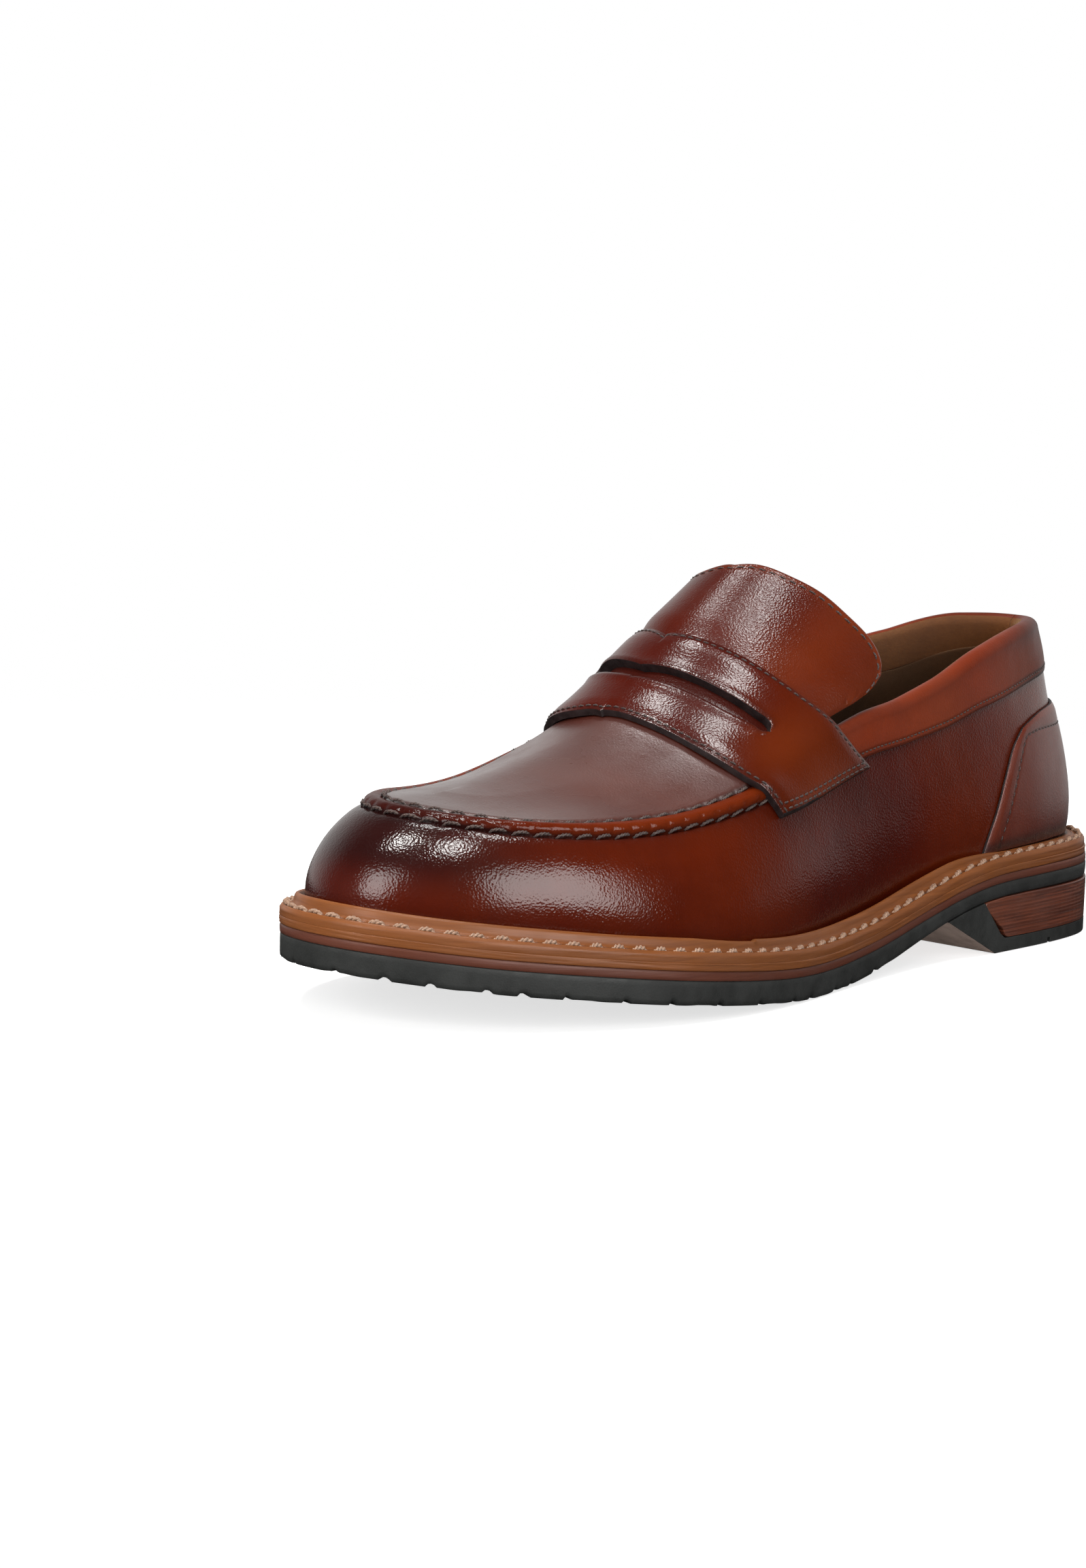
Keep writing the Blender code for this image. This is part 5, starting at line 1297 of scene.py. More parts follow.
def foxing():
    up_share = np.linspace(0, 1, detail(90))
    round_share = np.linspace(-1, 1, detail(220))
    stations = foxing_side(0.025 + 0.495 * up_share)[:, None] * round_share[None, :]
    rise = 0.018 + (foxing_top(2.42 * round_share)[None, :] - 0.018) * up_share[:, None]
    last, normal = body(stations, rise), body_normal(stations, rise)
    from_left = run_length(last, axis=1)
    from_right = from_left[:, -1:] - from_left
    from_side = np.minimum(from_left, from_right)
    from_foot = run_length(last, axis=0)
    from_top = from_foot[-1:] - from_foot
    from_edge = np.minimum(from_side, from_top)
    # rounded edge, groove under the stitches
    height = 1.30 - 0.40 * bell(from_edge, 0.8) - 0.20 * bell(from_edge - FOXING_ROW, 0.55)
    height = height + 0.10 * wobble(last, size=22, seed=0.2) + 0.22 * smooth(1.0, 3.0, from_edge)
    top = last + normal * height[..., None]
    burnish_and_shade = 0.35 * bell(from_edge - FOXING_ROW, 0.5) + 0.55 * bell(from_foot - 1.5, 2.0) + 0.2
    sheet("foxing_leather", top, last + normal * 0.1, [FOXING, EDGE_DARK], back_mat=1,
          attrs=finish_and_shade(burnish_and_shade, 0.15 * bell(from_edge - 1.5, 1.2)),
          bevel=dict(width=0.40, segments=3, angle=48), replaces=["heel_foxing"],
          slot="cognac_leather")

    # stitches: up one side, over the top and down the other
    half = len(round_share) // 2
    left = side_rows(FOXING_ROW, from_left, from_top)
    right = side_rows(FOXING_ROW, from_right[:, ::-1], from_top[:, ::-1])[::-1]
    nearest = np.argmin(np.abs(from_top - FOXING_ROW), axis=0)
    over = ~(from_side[nearest, np.arange(len(round_share))] < FOXING_ROW)
    path, normals = (
        np.concatenate([
            read_at(FOXING_ROW, from_left[left, :half], grid[left, :half]),
            read_at(FOXING_ROW, from_top.T[over], grid.swapaxes(0, 1)[over]),
            read_at(FOXING_ROW, from_right[:, ::-1][right, :half], grid[:, ::-1][right, :half])])
        for grid in (top, normal))
    stitches("thread_foxing_stitch", path, unit(normals), pitch=2.7, length=2.1, radius=0.20,
             lift=0.09, replaces=["foxing_stitch"])


foxing()

# ---------------------------------------------------------------- collar
COLLAR_ROW = 1.7             # mm above the collar's lower edge to its stitches
ROLL_COLUMNS = detail(26)    # grid columns over the roll


def collar_surface(stations, offset):
    """Columns from the lower edge, up the outside, over the roll and down inside.

    Returns the grid, offset mm outwards, and the distance along its outside part.
    """
    towards_front = smooth(4.4, 5.6, fold(stations))
    radius = 3.1 - 0.3 * towards_front
    stand = 0.52 - 0.20 * towards_front
    rim = body(stations, 1.0)
    upward = unit(rim - body(stations, 0.96))
    out = body_normal(stations, 0.985)
    out = unit(out - np.sum(out * upward, -1, keepdims=True) * upward)

    rises, lengths = rib_lengths(stations, collar_edge(stations) - 0.012, 1.0, count=120)
    length = lengths[:, -1]
    stop = np.maximum(length - radius * 0.95, length * 0.45)
    share = np.linspace(0, 1, detail(30))
    distance = stop[:, None] * share[None, :]
    rise = rise_at(rises, lengths, distance)
    bulge = 0.62 + 0.38 * np.sin(np.pi * share) ** 0.9 - 0.10 * share
    height = bulge + (stand[:, None] - 0.52) * smooth(0.4, 1.0, share)
    height = height - 0.16 * bell(distance - COLLAR_ROW, 0.5) - 0.22 * bell(distance, 0.5)
    outside = skin(stations[:, None], rise, height + offset)

    centre = rim - upward * (radius * 0.95)[:, None] - out * (radius - stand)[:, None]
    reach = (radius + offset)[:, None]
    columns = [centre + reach * (np.cos(angle) * out + np.sin(angle) * upward)
               for angle in np.radians(np.linspace(8, 180, ROLL_COLUMNS))]
    for depth in np.linspace(0.8, 9.0, detail(10)):
        columns.append(centre - reach * out - upward * depth + out * 1.5 * (depth / 9.0) ** 2)
    return np.concatenate([outside, np.stack(columns, 1)], 1), distance


def collar(side):
    stations = even(0.0, 6.25, detail(230), rise=0.95)
    if side == "medial":
        stations = LAP - stations[::-1]
    outer, distance = collar_surface(stations, offset=0.0)
    inner, _ = collar_surface(stations, offset=-0.95)
    outside = distance.shape[1]
    beyond = distance[:, -1:] + np.linspace(1, 20, outer.shape[1] - outside)[None, :]
    full = np.concatenate([distance, beyond], 1)
    # dark at the lower edge, the stitches, the roll and the back of the heel
    burnish_and_shade = 0.55 * bell(full - 0.4, 0.6) + 0.35 * bell(full - 1.9, 0.5)
    burnish_and_shade = burnish_and_shade + 0.25 * bell(full - distance[:, -1:] - 3, 4)
    burnish_and_shade = burnish_and_shade + (0.50 * (1 - smooth(1.0, 3.4, fold(stations))))[:, None]
    cell_mat = np.zeros((outer.shape[0] - 1, outer.shape[1] - 1), int)
    # the inside of the roll takes the paler copy of the lining: painted light
    cell_mat[:, outside + int(ROLL_COLUMNS * 0.66):] = 2
    sheet("collar_leather_" + side, outer, inner, [COLLAR, EDGE_DARK, LIT_LINING],
          cell_mat=cell_mat, back_mat=1, attrs=finish_and_shade(burnish_and_shade, 0.12),
          bevel=dict(width=0.25, segments=2, angle=50),
          replaces=["collar_" + side, "collar_padding_" + side], slot="cognac_leather")
    path = read_at(COLLAR_ROW, distance, outer[:, :outside])
    normals = body_normal(stations, collar_edge(stations) + 0.02)
    clear_of_back = fold(stations) > 0.25
    stitches("thread_collar_stitch_" + side, path[clear_of_back], normals[clear_of_back],
             pitch=1.9, length=1.35, radius=0.22, lift=0.10, ply=1, seg=6,
             replaces=["collar_stitch_" + side])


def back_seam_thread():
    """One thread zigzagging up the back of the collar."""
    half_width, rows, sides, radius = 0.15, 11, 7, 0.30
    stations, rises = [], []
    for j, rise in enumerate(np.linspace(0.815, 0.955, rows)):
        start = -half_width if j % 2 == 0 else half_width
        for x in np.linspace(0, 1, 8):
            stations.append(start - 2 * start * x)
            rises.append(rise + 0.014 * x)
    stations, rises = np.array(stations), np.array(rises)
    path = skin(stations, rises, 1.75 - 0.5 * np.abs(stations / half_width) ** 4)
    normal = body_normal(stations, rises)
    side = unit(np.cross(normal, unit(np.gradient(path, axis=0))))
    angles = np.linspace(0, 2 * np.pi, sides, endpoint=False)[None, :, None]
    ring = normal[:, None, :] * np.cos(angles) + side[:, None, :] * np.sin(angles)
    sections = path[:, None, :] + radius * ring
    build("thread_back_seam_stitch", sections.reshape(-1, 3), tube_faces(len(path), sides),
          [FINE_YARN], replaces=["back_seam_stitch"], slot="dark_thread")


collar("lateral")
collar("medial")
back_seam_thread()


# ---------------------------------------------------------------- linings
def lining(name, stations):
    share = np.linspace(0, 1, detail(60))
    foot = 0.035
    top = collar_edge(np.mod(stations, LAP)) + 0.09
    rise = foot + (top - foot)[:, None] * share[None, :]
    last = body(stations[:, None], rise)
    normal = body_normal(stations[:, None], rise)
    depth = -2.75 - 2.05 * smooth(0.55, 0.95, share) + 0.15 * wobble(last, size=15, seed=3.0)
    if name == "heel_grip":
        # it lies inside the quarter linings, flush at its ends
        depth = depth - 0.55 * smooth(1.9, 1.55, np.abs(stations))[:, None] + 0.02
    # the darker copy of the lining: painted shade
    sheet(name + "_suede", last + normal * depth[..., None],
          last + normal * (depth - 0.9)[..., None], [SHADED_LINING],
          bevel=dict(width=0.25, segments=2, angle=50), replaces=[name], slot="tan_lining")


quarter = even(0.9, 7.2, detail(160))
lining("quarter_lining_lateral", quarter)
lining("quarter_lining_medial", LAP - quarter[::-1])
lining("heel_grip", even(-1.9, 1.9, detail(140)))


def sock_liner():
    """A shallow cup over the insole."""
    count = detail(260)
    rim = edge(np.linspace(0, 1, count + 1)[:-1], 11.4)
    inward = np.linspace(0, 1, detail(22))[:, None]
    run = rim[:, 0] * (1 - inward) + np.clip(rim[:, 0], 34, 262) * inward
    across = rim[:, 1] * (1 - inward) + 1.5 * inward
    z = honey_top(run) + 5.4 + SOCK + 1.6 * (1 - inward) ** 3
    top = np.stack([run, across, z], -1)
    bottom = np.stack([run, across, z - SOCK], -1)
    # from the middle underneath, out and back over
    sections = np.concatenate([bottom[::-1], top], 0).transpose(1, 0, 2)
    cols = sections.shape[1]
    faces = grid_faces(count, cols, close_cols=False)
    faces.append([i * cols for i in range(count)][::-1])
    faces.append([i * cols + cols - 1 for i in range(count)])
    build("sock_liner_leather", sections.reshape(-1, 3), faces, [SOCK_LEATHER],
          replaces=["sock_liner"], slot="tan_lining")


sock_liner()

# ---------------------------------------------------------------- welt and midsoles
ring_count = detail(1100)
ring_tau = np.linspace(0, 1, ring_count + 1)[:-1]
ring_plan = outline(ring_tau)
ring_run = ring_plan[:, 0]
ring_length = run_length(np.vstack([ring_plan, ring_plan[:1]]))
WELT_STITCHES = round(ring_length[-1] / WELT_PITCH)


def profile_rings(tau, profile):
    """A closed line round the sole for each (inset, z) of the profile."""
    return [with_z(edge(tau, inset), z) for inset, z in profile]


def sole_ring(name, profile, dark, mat, **kw):
    """A layer's edge all the way round, from its (inset, z) section."""
    sections = np.stack(profile_rings(ring_tau, profile), 1)
    build(name, sections.reshape(-1, 3), grid_faces(ring_count, len(profile)), [mat],
          attrs={"dark": dark}, **kw)


def streaks(seed, amount, count):
    """Slow, different waviness for each height of a cut edge."""
    rng = np.random.default_rng(seed)
    lines = []
    for _ in range(count):
        phases, sizes = rng.uniform(0, 6.28, 5), rng.uniform(0.3, 1.0, 5)
        wave = sum(size * np.sin(2 * np.pi * ring_tau * cycles + phase)
                   for size, cycles, phase in zip(sizes, (3, 7, 13, 24, 41), phases))
        lines.append(amount * wave / 2.5)
    return lines


def welt():
    low = honey_top(ring_run) + GAP / 2 - 0.25
    top = welt_top(ring_run)
    travelled = ring_length[:-1]
    step = ring_length[-1] / WELT_STITCHES
    # 1 between two stitches, where the welt is pinched
    pinch = bell((travelled + step / 2) % step - step / 2, 0.75)
    lip = LIP_H * smooth(58, 92, ring_run) + 0.25
    # the lip's ends overlap on the outer forepart
    outer_side = (ring_tau > 0.02) & (ring_tau < 0.5)
    joint = smooth(196, 197.2, ring_run) * (1 - smooth(203, 226, ring_run))
    lip = lip - 0.55 * np.where(outer_side, joint, 0) + 0.10 * np.sin(travelled / 9.0) * 0.6
    back = 0.7 * smooth(110, 60, ring_run)
    channel = top - 0.34
    wavy = streaks(seed=3, amount=0.10, count=14)
    profile = [
        # cut edge, rounded over at the top
        (8.0, low), (0.06, low), (wavy[0] * 0.5, low + 0.35), (wavy[1], low + 0.9),
        (wavy[2], low + 1.5), (0.02 + wavy[3], low + 2.1), (0.16 + wavy[4] * 0.6, top - 0.80),
        (0.36, top - 0.40), (0.62, top - 0.16),
        # channel for the stitches
        (0.88, top - 0.07 - 0.10 * pinch), (1.05, top - 0.20 - 0.35 * pinch),
        (1.35, channel - 0.55 * pinch), (1.7, channel - 0.75 * pinch),
        (2.05, channel - 0.70 * pinch), (2.4, top - 0.22 - 0.45 * pinch),
        (2.75, top - 0.02 - 0.15 * pinch), (3.05, top + 0.10), (3.35, top + 0.30),
        # lip
        (3.6 - back * 0.4, top + lip * 0.45), (3.8 - back * 0.5, top + lip * 0.75),
        (4.1 - back * 0.5, top + lip * 0.93), (4.5 - back * 0.6, top + lip),
        (4.9 - back * 0.8, top + lip * 0.97), (5.3 - back, top + lip * 0.85),
        (5.7 - back, top + lip * 0.5), (6.2 - back, top + 0.1), (8.0, top - 0.6)]
    profile = [(inset - 0.6 * flare(ring_run) * smooth(3.6, 1.4, inset), z)
               for inset, z in profile]
    # darker in the channel, most between stitches, and behind the lip: painted shade; stained at
    # its joint
    dark = np.zeros((ring_count, len(profile)))
    dark[:, 10:15] = (0.42 + 0.55 * pinch)[:, None]
    dark[:, 23:27] = 0.7
    joint_line = np.where(outer_side, bell(ring_run - 196.4, 0.5), 0)
    dark[:, 19] += 0.5 * joint_line
    dark[:, 21] += 0.6 * joint_line
    sole_ring("welt_strip", profile, dark, HONEY_EDGE, replaces=["welt"], slot="honey_edge")


def midsole(name, low, high, lid, insets, levels, wavy, flared, stained, stain, **kw):
    """A flat layer between low and high, closed by a top face at lid.

    insets: of the lower and upper corner; levels: (share of the height, inset) of the points
    between; flared: mm it stands out round the heel; stained: the points that stain darkens.
    """
    inner = 14.0
    profile = [(insets[0], low)]
    profile += [(inset + wavy[i], low * (1 - share) + high * share)
                for i, (share, inset) in enumerate(levels)]
    profile.append((insets[1], lid))
    profile = [(inset - flared * flare(ring_run), z) for inset, z in profile]
    profile = [(inner, low)] + profile + [(inner, lid)]
    dark = np.zeros((ring_count, len(profile)))
    dark[:, stained] = stain
    sole_ring(name, profile, dark, **kw)


def midsoles():
    red_low = rubber_top(ring_run)
    honey_low = red_low + RED_MID
    honey_high = honey_top(ring_run) - GAP / 2
    midsole("honey_midsole_edge", low=honey_low + GAP / 2, high=honey_high,
            lid=honey_high + 0.22, insets=(0.25, 0.02),
            levels=[(0.08, 0.06)] + [(k, 0.0) for k in (0.22, 0.38, 0.55, 0.70, 0.85, 0.95)],
            wavy=streaks(seed=5, amount=0.10, count=12), flared=0.9, stained=[1], stain=0.35,
            mat=HONEY_EDGE, replaces=["midsole_honey"], slot="honey_edge")
    red_high = honey_low - GAP / 2 + 0.25
    midsole("red_midsole_edge", low=red_low + GAP / 2 - 0.2, high=red_high, lid=red_high,
            insets=(0.6, 0.45),
            levels=[(0.08, 0.30), (0.3, 0.18), (0.5, 0.18), (0.7, 0.18), (0.95, 0.30)],
            wavy=streaks(seed=9, amount=0.08, count=12), flared=1.4, stained=[1, 7], stain=0.6,
            mat=RED_EDGE, replaces=["midsole_red"], slot="red_midsole")


def welt_thread():
    tau = np.linspace(0, 1, 3001)
    run = outline(tau)[:, 0]
    path = with_z(edge(tau, 1.72 - 0.5 * flare(run)), welt_top(run) - 0.25)
    normals = unit(UP + 0.35 * with_z(outward(tau), 0.0))
    stitches("welt_thread", path, normals, pitch=run_length(path)[-1] / WELT_STITCHES,
             length=4.8, radius=0.66, lift=0.56, sink=0.75, slant=0.35, closed=True, twist=2.6,
             seg=11, sides=8, mat=PALE_YARN, replaces=["welt_stitch"], slot="pale_thread")


welt()
midsoles()
welt_thread()


# ---------------------------------------------------------------- rubber outsole
def outsole():
    rows = detail(900)
    tau = np.linspace(0, 1, rows + 1)[:-1]
    plan = outline(tau)
    run = plan[:, 0]
    travelled = run_length(plan)
    low, top = under(run), rubber_top(run) - 0.05
    # notches of uneven spacing round the forepart's lower edge
    rng = np.random.default_rng(11)
    cuts = np.cumsum(rng.choice([9.5, 12.0, 14.5, 17.0], 80))
    cuts = cuts[cuts < travelled[-1] - 4]
    widths = rng.uniform(0.9, 1.5, len(cuts))
    notch = np.clip(sum(np.exp(-((travelled - cut) / width) ** 6)
                        for cut, width in zip(cuts, widths)), 0, 1)
    shallow = 0.22 * np.clip(np.sin(travelled / 5.3) + 0.6 * np.sin(travelled / 2.1 + 1), 0, 1)
    forepart = smooth(118, 128, run)
    lift = forepart * (0.95 * notch + shallow * (1 - notch))
    profile = [
        (0.5, top), (0.35, top - 0.4), (0.35, top - 1.6), (0.42, low + lift + 1.6),
        (0.5, low + lift + 0.7), (0.9, low + lift + 0.12), (1.6, low + lift),
        (7.5, low + lift * 0.9), (8.1, low + TREAD * forepart)]
    rings = profile_rings(tau, [(inset - 1.7 * flare(run), z) for inset, z in profile])
    middle = np.column_stack([np.clip(run, 36, 262), np.full(rows, 1.0)])
    # the underside, raised by the tread's depth under the forepart
    for share in np.linspace(0.08, 1, detail(20)):
        spot = edge(tau, 8.3) * (1 - share) + middle * share
        rings.append(with_z(spot, under(spot[:, 0]) + smooth(118, 128, spot[:, 0]) * TREAD))
    lower = len(rings)
    for share in (1.0, 0.5, 0.15):
        spot = edge(tau, 1.2) * (1 - share) + middle * share
        rings.append(with_z(spot, rubber_top(spot[:, 0]) - 0.05))
    cols = len(rings)
    faces = [face for k, face in enumerate(grid_faces(rows, cols)) if k % cols != lower - 1]

    # the underside meets itself along the middle: zip its two halves together there
    heel, toe = int(np.argmin(run)), int(np.argmax(run))
    one = [(heel + i) % rows for i in range((toe - heel) % rows + 1)]
    other = [(heel - i) % rows for i in range((heel - toe) % rows + 1)]
    i = j = 0
    while i < len(one) - 1 or j < len(other) - 1:
        step_one = j >= len(other) - 1 or (
            i < len(one) - 1 and run[one[i + 1]] <= run[other[j + 1]])
        triangle = [one[i], one[i + 1] if step_one else other[j + 1], other[j]]
        if len(set(triangle)) == 3:
            faces.append([k * cols + lower - 1 for k in triangle])
        i, j = (i + 1, j) if step_one else (i, j + 1)
    faces.append([k * cols + lower for k in range(rows)][::-1])
    build("outsole_rubber", np.stack(rings, 1).reshape(-1, 3), faces, [RUBBER],
          replaces=["outsole"], slot="black_rubber")


def tread():
    """Zigzag bars across the forepart's underside."""
    pitch, half_width = 9.0, 2.6
    limit = edge(np.linspace(0, 1, 2401), 11.0)
    points, faces = [], []
    for run in np.arange(140, 284, pitch):
        ends = limit[np.abs(limit[:, 0] - run) < 1.2, 1]
        across = ends.min() + (ends.max() - ends.min()) * np.linspace(0, 1, 9)
        zigzag = 2.2 * np.abs(((across - ends.min()) / 9.0) % 2 - 1) - 1.1
        plan = np.vstack([np.column_stack([run - half_width + zigzag, across]),
                          np.column_stack([run + half_width + zigzag, across])[::-1]])
        # slightly smaller where it meets the ground
        tip = plan.mean(0) + (plan - plan.mean(0)) * 0.94
        base, count = sum(map(len, points)), len(plan)
        points.append(np.vstack([with_z(plan, under(plan[:, 0]) + TREAD + 0.3),
                                 with_z(plan, under(plan[:, 0]) + 0.15 + 0.25),
                                 with_z(tip, under(tip[:, 0]) + 0.15)]))
        for level in (base, base + count):
            for i in range(count):
                j = (i + 1) % count
                faces.append([level + i, level + j, level + count + j, level + count + i])
        faces.append([base + i for i in range(count)][::-1])
        faces.append([base + 2 * count + i for i in range(count)])
    build("outsole_tread", np.vstack(points), faces, [RUBBER], slot="black_rubber",
          smooth_shade=False)


outsole()
tread()


# ---------------------------------------------------------------- heel
def solid(name, points, faces):
    mesh = bpy.data.meshes.new(name)
    mesh.from_pydata(to_world(points).tolist(), [], faces)
    work = bmesh.new()
    work.from_mesh(mesh)
    bmesh.ops.recalc_face_normals(work, faces=work.faces)
    work.to_mesh(mesh)
    work.free()
    return add_object(name, mesh)


def heel_piece(name, profile, inset, mats, rounding, replaces):
    """A (run, z) side profile right across the shoe, cut to the sole's outline."""
    count = len(profile)
    points = [(run, across, z) for across in (-70.0, 70.0) for run, z in profile]
    faces = [list(range(count)), list(range(2 * count - 1, count - 1, -1))]
    faces += [[i, i + count, (i + 1) % count + count, (i + 1) % count] for i in range(count)]
    obj = solid(name, points, faces)
    tau = np.linspace(0, 1, 241)[:-1]
    plan = edge(tau, inset - 2.1 * flare(outline(tau)[:, 0]))
    count = len(plan)
    faces = [list(range(count - 1, -1, -1)), list(range(count, 2 * count))]
    faces += [[i, (i + 1) % count, (i + 1) % count + count, i + count] for i in range(count)]
    cutter = solid(name + "_cut", np.vstack([with_z(plan, -6.0), with_z(plan, 42.0)]), faces)
    cut = obj.modifiers.new("plan", "BOOLEAN")
    cut.operation = "INTERSECT"
    cut.solver = "EXACT"
    cut.object = cutter
    round_edges(obj, width=rounding, segments=2, angle=28)
    apply_modifiers(obj)
    bpy.data.objects.remove(cutter, do_unlink=True)
    obj.data.materials.clear()
    for mat in mats:
        obj.data.materials.append(mat)
    register(obj, replaces)
    return obj


def under_point(run):
    """(run, z) on the rubber's underside."""
    return run, float(under(run))


def heel_lift():
    """Rubber lift with a groove across it and a sloping front face up to the sole."""
    obj = heel_piece(
        "heel_lift_and_breast",
        [(-5.0, 0.0), (40.2, 0.0), (40.2, 1.5), (41.7, 1.5), (41.7, 0.0), (70.0, 0.0),
         under_point(94.6), under_point(86.0), under_point(76.5), (67.5, LIFT + 1.6),
         (65.0, LIFT), (-5.0, LIFT)],
        inset=0.45, mats=[RUBBER, BREAST], rounding=0.35, replaces=["top_lift"])
    # the sloping face has its own material, paler than its own colour as painted light
    front_y = to_world([64.0, 0.0, 0.0])[1]
    for poly in obj.data.polygons:
        faces_down_ahead = poly.normal.y < -0.3 and poly.normal.z < -0.3
        if faces_down_ahead and poly.area > 2e-5 and poly.center.y < front_y:
            poly.material_index = 1


def heel_block():
    radius = 3.2
    corner = [(67.0 - radius * (1 - math.sin(angle)) - 1.0,
               LIFT + 0.12 + radius * (1 - math.cos(angle)))
              for angle in np.radians(np.linspace(0, 75, 7))]
    heel_piece(
        "heel_block_stack",
        [(-5.0, LIFT + 0.05)] + corner
        + [(76.3, float(under(76.3)) - 1.2), under_point(75.6), under_point(66.0),
           (54.0, 16.25), (-5.0, 16.25)],
        inset=0.5, mats=[HEEL_STACK], rounding=0.30, replaces=["heel_block"])


heel_lift()
heel_block()


# ---------------------------------------------------------------- floor, metres
def floor_material():
    """White to the camera, dimmer to the shoe's colour and nearly black to its polish."""
    m = new_material("floor")
    ray = m.new("LightPath").outputs

    def grey(level):
        return m.node("BsdfDiffuse", {0: (level, level, level)})

    def glow(strength):
        return m.node("Emission", {0: (1, 1, 1), 1: strength})

    lit = m.node("AddShader", {0: grey(0.30), 1: glow(0.30)})
    indirect = m.mix_shader(ray["Is Glossy Ray"], lit, grey(0.015))
    seen = m.node("AddShader", {0: grey(0.70), 1: glow(0.70)})
    shader = m.mix_shader(ray["Is Camera Ray"], indirect, seen)
    # it fades into the backdrop away from the middle
    from_middle = m.node("VectorMath", {0: m.coords}, "Value", operation="LENGTH")
    fade = m.ramp(from_middle, over=(0.26, 0.62))
    m.new("OutputMaterial", {0: m.mix_shader(fade, shader, m.node("BsdfTransparent"))})
    return m.owner


def floor(radius=0.7, z=-0.0002, rings=24, seg=96):
    points = [(0.0, 0.0, z)]
    for i in range(1, rings + 1):
        for j in range(seg):
            angle = 2 * math.pi * j / seg
            points.append((radius * i / rings * math.cos(angle),
                           radius * i / rings * math.sin(angle), z))
    faces = [(0, 1 + j, 1 + (j + 1) % seg) for j in range(seg)]
    for i in range(rings - 1):
        start = 1 + i * seg
        for j in range(seg):
            k = (j + 1) % seg
            faces.append((start + j, start + seg + j, start + seg + k, start + k))
    material = floor_material()
    mesh = bpy.data.meshes.new("floor")
    mesh.from_pydata(points, [], faces)
    mesh.materials.append(material)
    add_object("floor", mesh)


floor()


# ---------------------------------------------------------------- world
def studio():
    """White to the camera, even to diffuse rays, and a lit backdrop to reflections."""
    world = bpy.data.worlds.new("studio")
    bpy.context.scene.world = world
    n = Nodes(world, "Generated")
    x, y, z = n.new("SeparateXYZ", {0: n.coords}).outputs
    # level directions: away from the camera, and to its right
    away = n.plus(n.times(x, -0.6723), n.times(y, 0.7403))
    rightward = n.plus(n.times(x, 0.7403), n.times(y, 0.6723))
    backdrop = n.times(n.ramp(away, over=(0.15, 0.80)), n.ramp(z, over=(0.92, 0.25)))
    below = n.ramp(z, over=(0.02, -0.20))
    left_card = n.times(n.ramp(rightward, over=(-0.55, -0.95)), n.ramp(z, over=(0.75, 0.15)))
    sky = n.plus(n.times(backdrop, 0.62), n.plus(n.times(below, 0.02), n.times(left_card, 0.11)))
    sky = n.plus(sky, 0.010)

    def background(colour, strength):
        return n.node("Background", {0: colour, 1: strength})

    ray = n.new("LightPath").outputs
    shader = n.mix_shader(ray["Is Diffuse Ray"], background((1.0, 0.985, 0.97), sky),
                          background((1, 1, 1), 0.26))
    shader = n.mix_shader(ray["Is Camera Ray"], shader, background((1, 1, 1), 1.0))
    n.new("OutputWorld", {0: shader})


studio()

# ---------------------------------------------------------------- lights and camera, metres
CAMERA_PLACE = (0.755807, -0.908518, 0.209438)
CAMERA_RIGHT = Vector((0.73611908, 0.67572906, 0.03897351))
CAMERA_UP = Vector((-0.11969349, 0.07328514, 0.9901024))
CAMERA_AHEAD = Vector((-0.66618478, 0.73349815, -0.13482696))


def place(right, up, near):
    """A point right of, above and towards the camera from the shoe's middle."""
    level_ahead = Vector((CAMERA_AHEAD.x, CAMERA_AHEAD.y, 0)).normalized()
    return (Vector((0.0, 0.0, 0.05)) + CAMERA_RIGHT * right + Vector((0, 0, 1)) * up
            - level_ahead * near)


def area(name, location, target, size, power, colour):
    light = bpy.data.lights.new(name, "AREA")
    light.shape = "RECTANGLE"
    light.size, light.size_y = size
    light.energy = power
    light.color = colour
    obj = add_object(name, light)
    obj.location = location
    obj.rotation_euler = (Vector(target) - Vector(location)).to_track_quat("-Z", "Y").to_euler()
    return obj


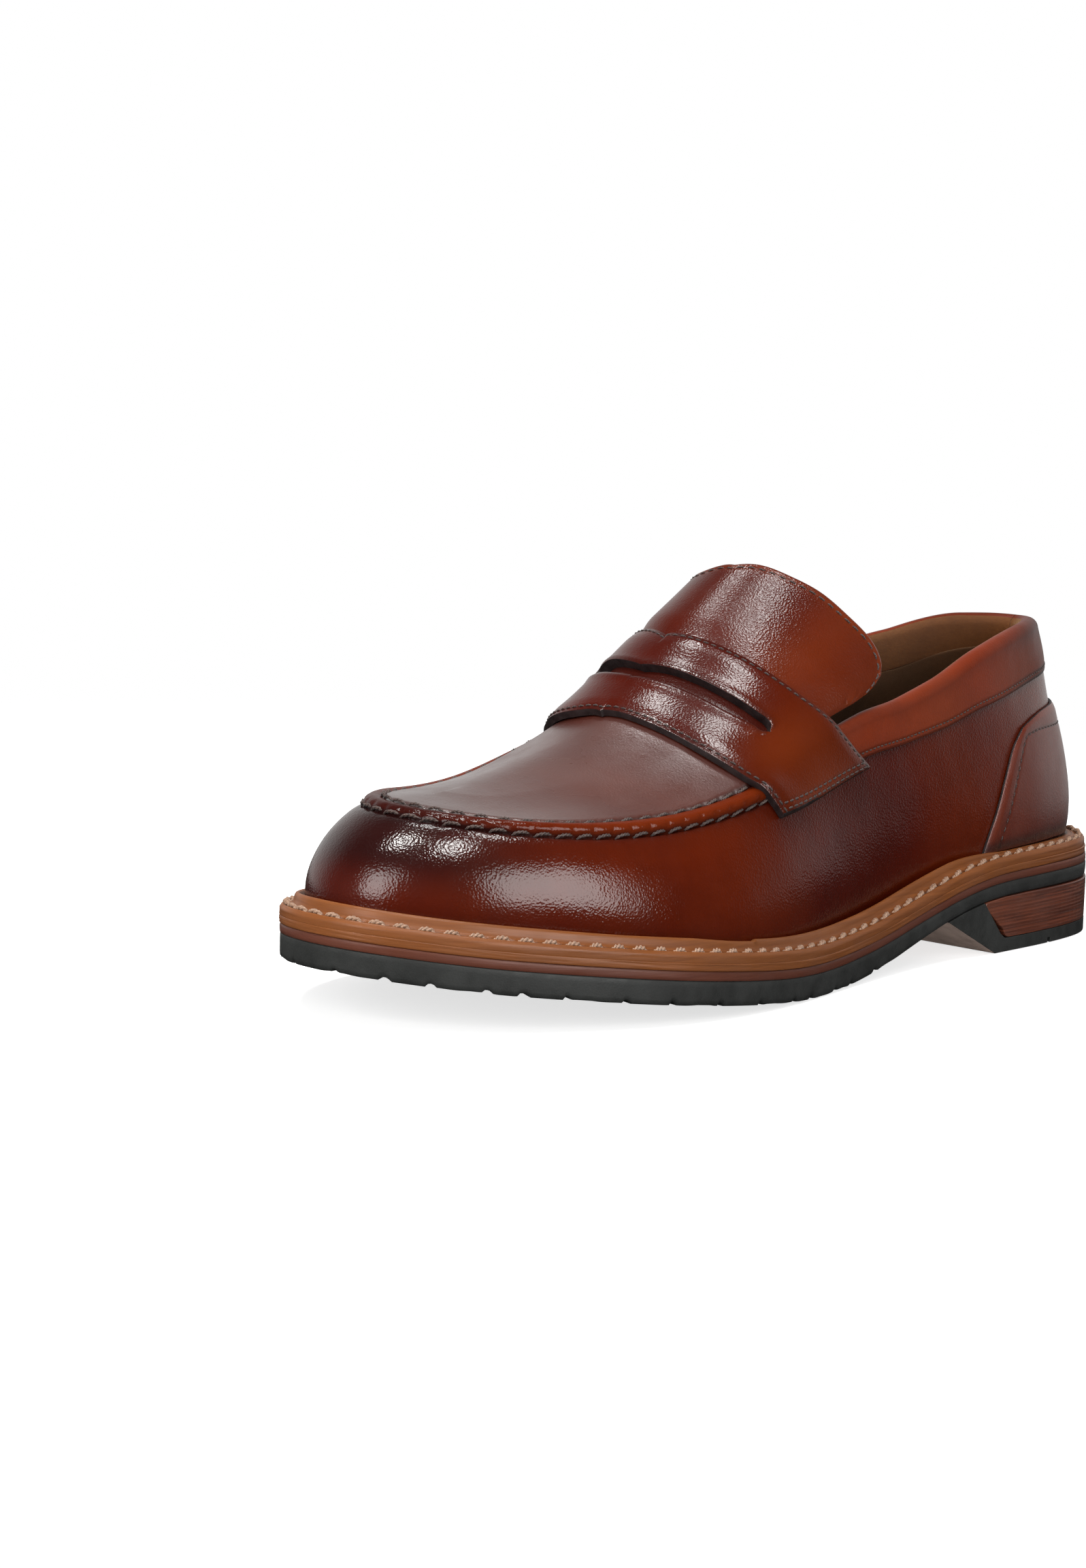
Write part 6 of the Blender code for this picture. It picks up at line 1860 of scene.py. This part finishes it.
# small lamps above: name, (right, up, near), target, (width, height), watts, colour
SPOTS = [
    ("spot_left", (-0.50, 1.02, 0.17), (0, -0.08, 0.05), (0.15, 0.15), 3.6, (1.0, 0.985, 0.96)),
    ("spot_front", (-0.10, 1.02, 0.50), (0, -0.08, 0.06), (0.17, 0.26), 4.6, (1.0, 0.985, 0.965)),
    ("spot_top", (0.12, 1.02, -0.02), (0, 0.0, 0.06), (0.26, 0.14), 2.3, (1.0, 0.99, 0.975)),
    ("spot_rear", (-0.22, 1.06, -0.30), (0, 0.0, 0.06), (0.20, 0.12), 1.6, (1.0, 0.99, 0.975)),
]
# soft boxes seen only in the polish:
# name, degrees to the camera's right, degrees up, (width, height), watts
BOXES = [
    ("box_right", 42, 18, (1.30, 0.95), 26.0),
    ("box_left", -47, 22, (0.62, 0.80), 11.0),
]
BOX_DISTANCE = 1.6
# lamps left out of the polish: name, (right, up, near), watts
FILLS = [
    ("fill_right", (1.15, 0.55, 0.65), 2.4), ("fill_front", (-0.35, 0.55, 1.3), 10.0),
    ("fill_left", (-1.2, 0.5, 0.5), 5.0), ("fill_back", (0.9, 0.7, -0.9), 4.0),
    ("fill_top", (0.0, 1.4, 0.0), 3.5), ("fill_low", (0.15, 0.12, 1.4), 2.5),
]


def lights():
    for name, where, target, size, power, colour in SPOTS:
        area(name, place(*where), target, size, power, colour)
    for name, azimuth, elevation, size, power in BOXES:
        turn, tilt = math.radians(azimuth), math.radians(elevation)
        where = place(BOX_DISTANCE * math.cos(tilt) * math.sin(turn),
                      BOX_DISTANCE * math.sin(tilt),
                      BOX_DISTANCE * math.cos(tilt) * math.cos(turn))
        box = area(name, where, (0, -0.06, 0.05), size, power, colour=(1.0, 0.99, 0.975))
        box.visible_diffuse = False
    for name, where, power in FILLS:
        lamp = area(name, place(*where), (0, 0.0, 0.05), (0.9, 0.7), power,
                    colour=(1.0, 0.99, 0.98))
        lamp.visible_glossy = False


def camera():
    data = bpy.data.cameras.new("camera")
    data.lens = 99.14
    data.sensor_width = 36
    data.sensor_fit = "AUTO"
    data.clip_start = 0.05
    data.clip_end = 50
    obj = add_object("camera", data)
    matrix = Matrix.Identity(4)
    for i in range(3):
        matrix[i] = (CAMERA_RIGHT[i], CAMERA_UP[i], -CAMERA_AHEAD[i], CAMERA_PLACE[i])
    obj.matrix_world = matrix
    bpy.context.scene.camera = obj


lights()
camera()

view = bpy.context.scene.view_settings
view.view_transform = "Standard"
view.look = "None"
view.exposure = 0.0
view.gamma = 1.0
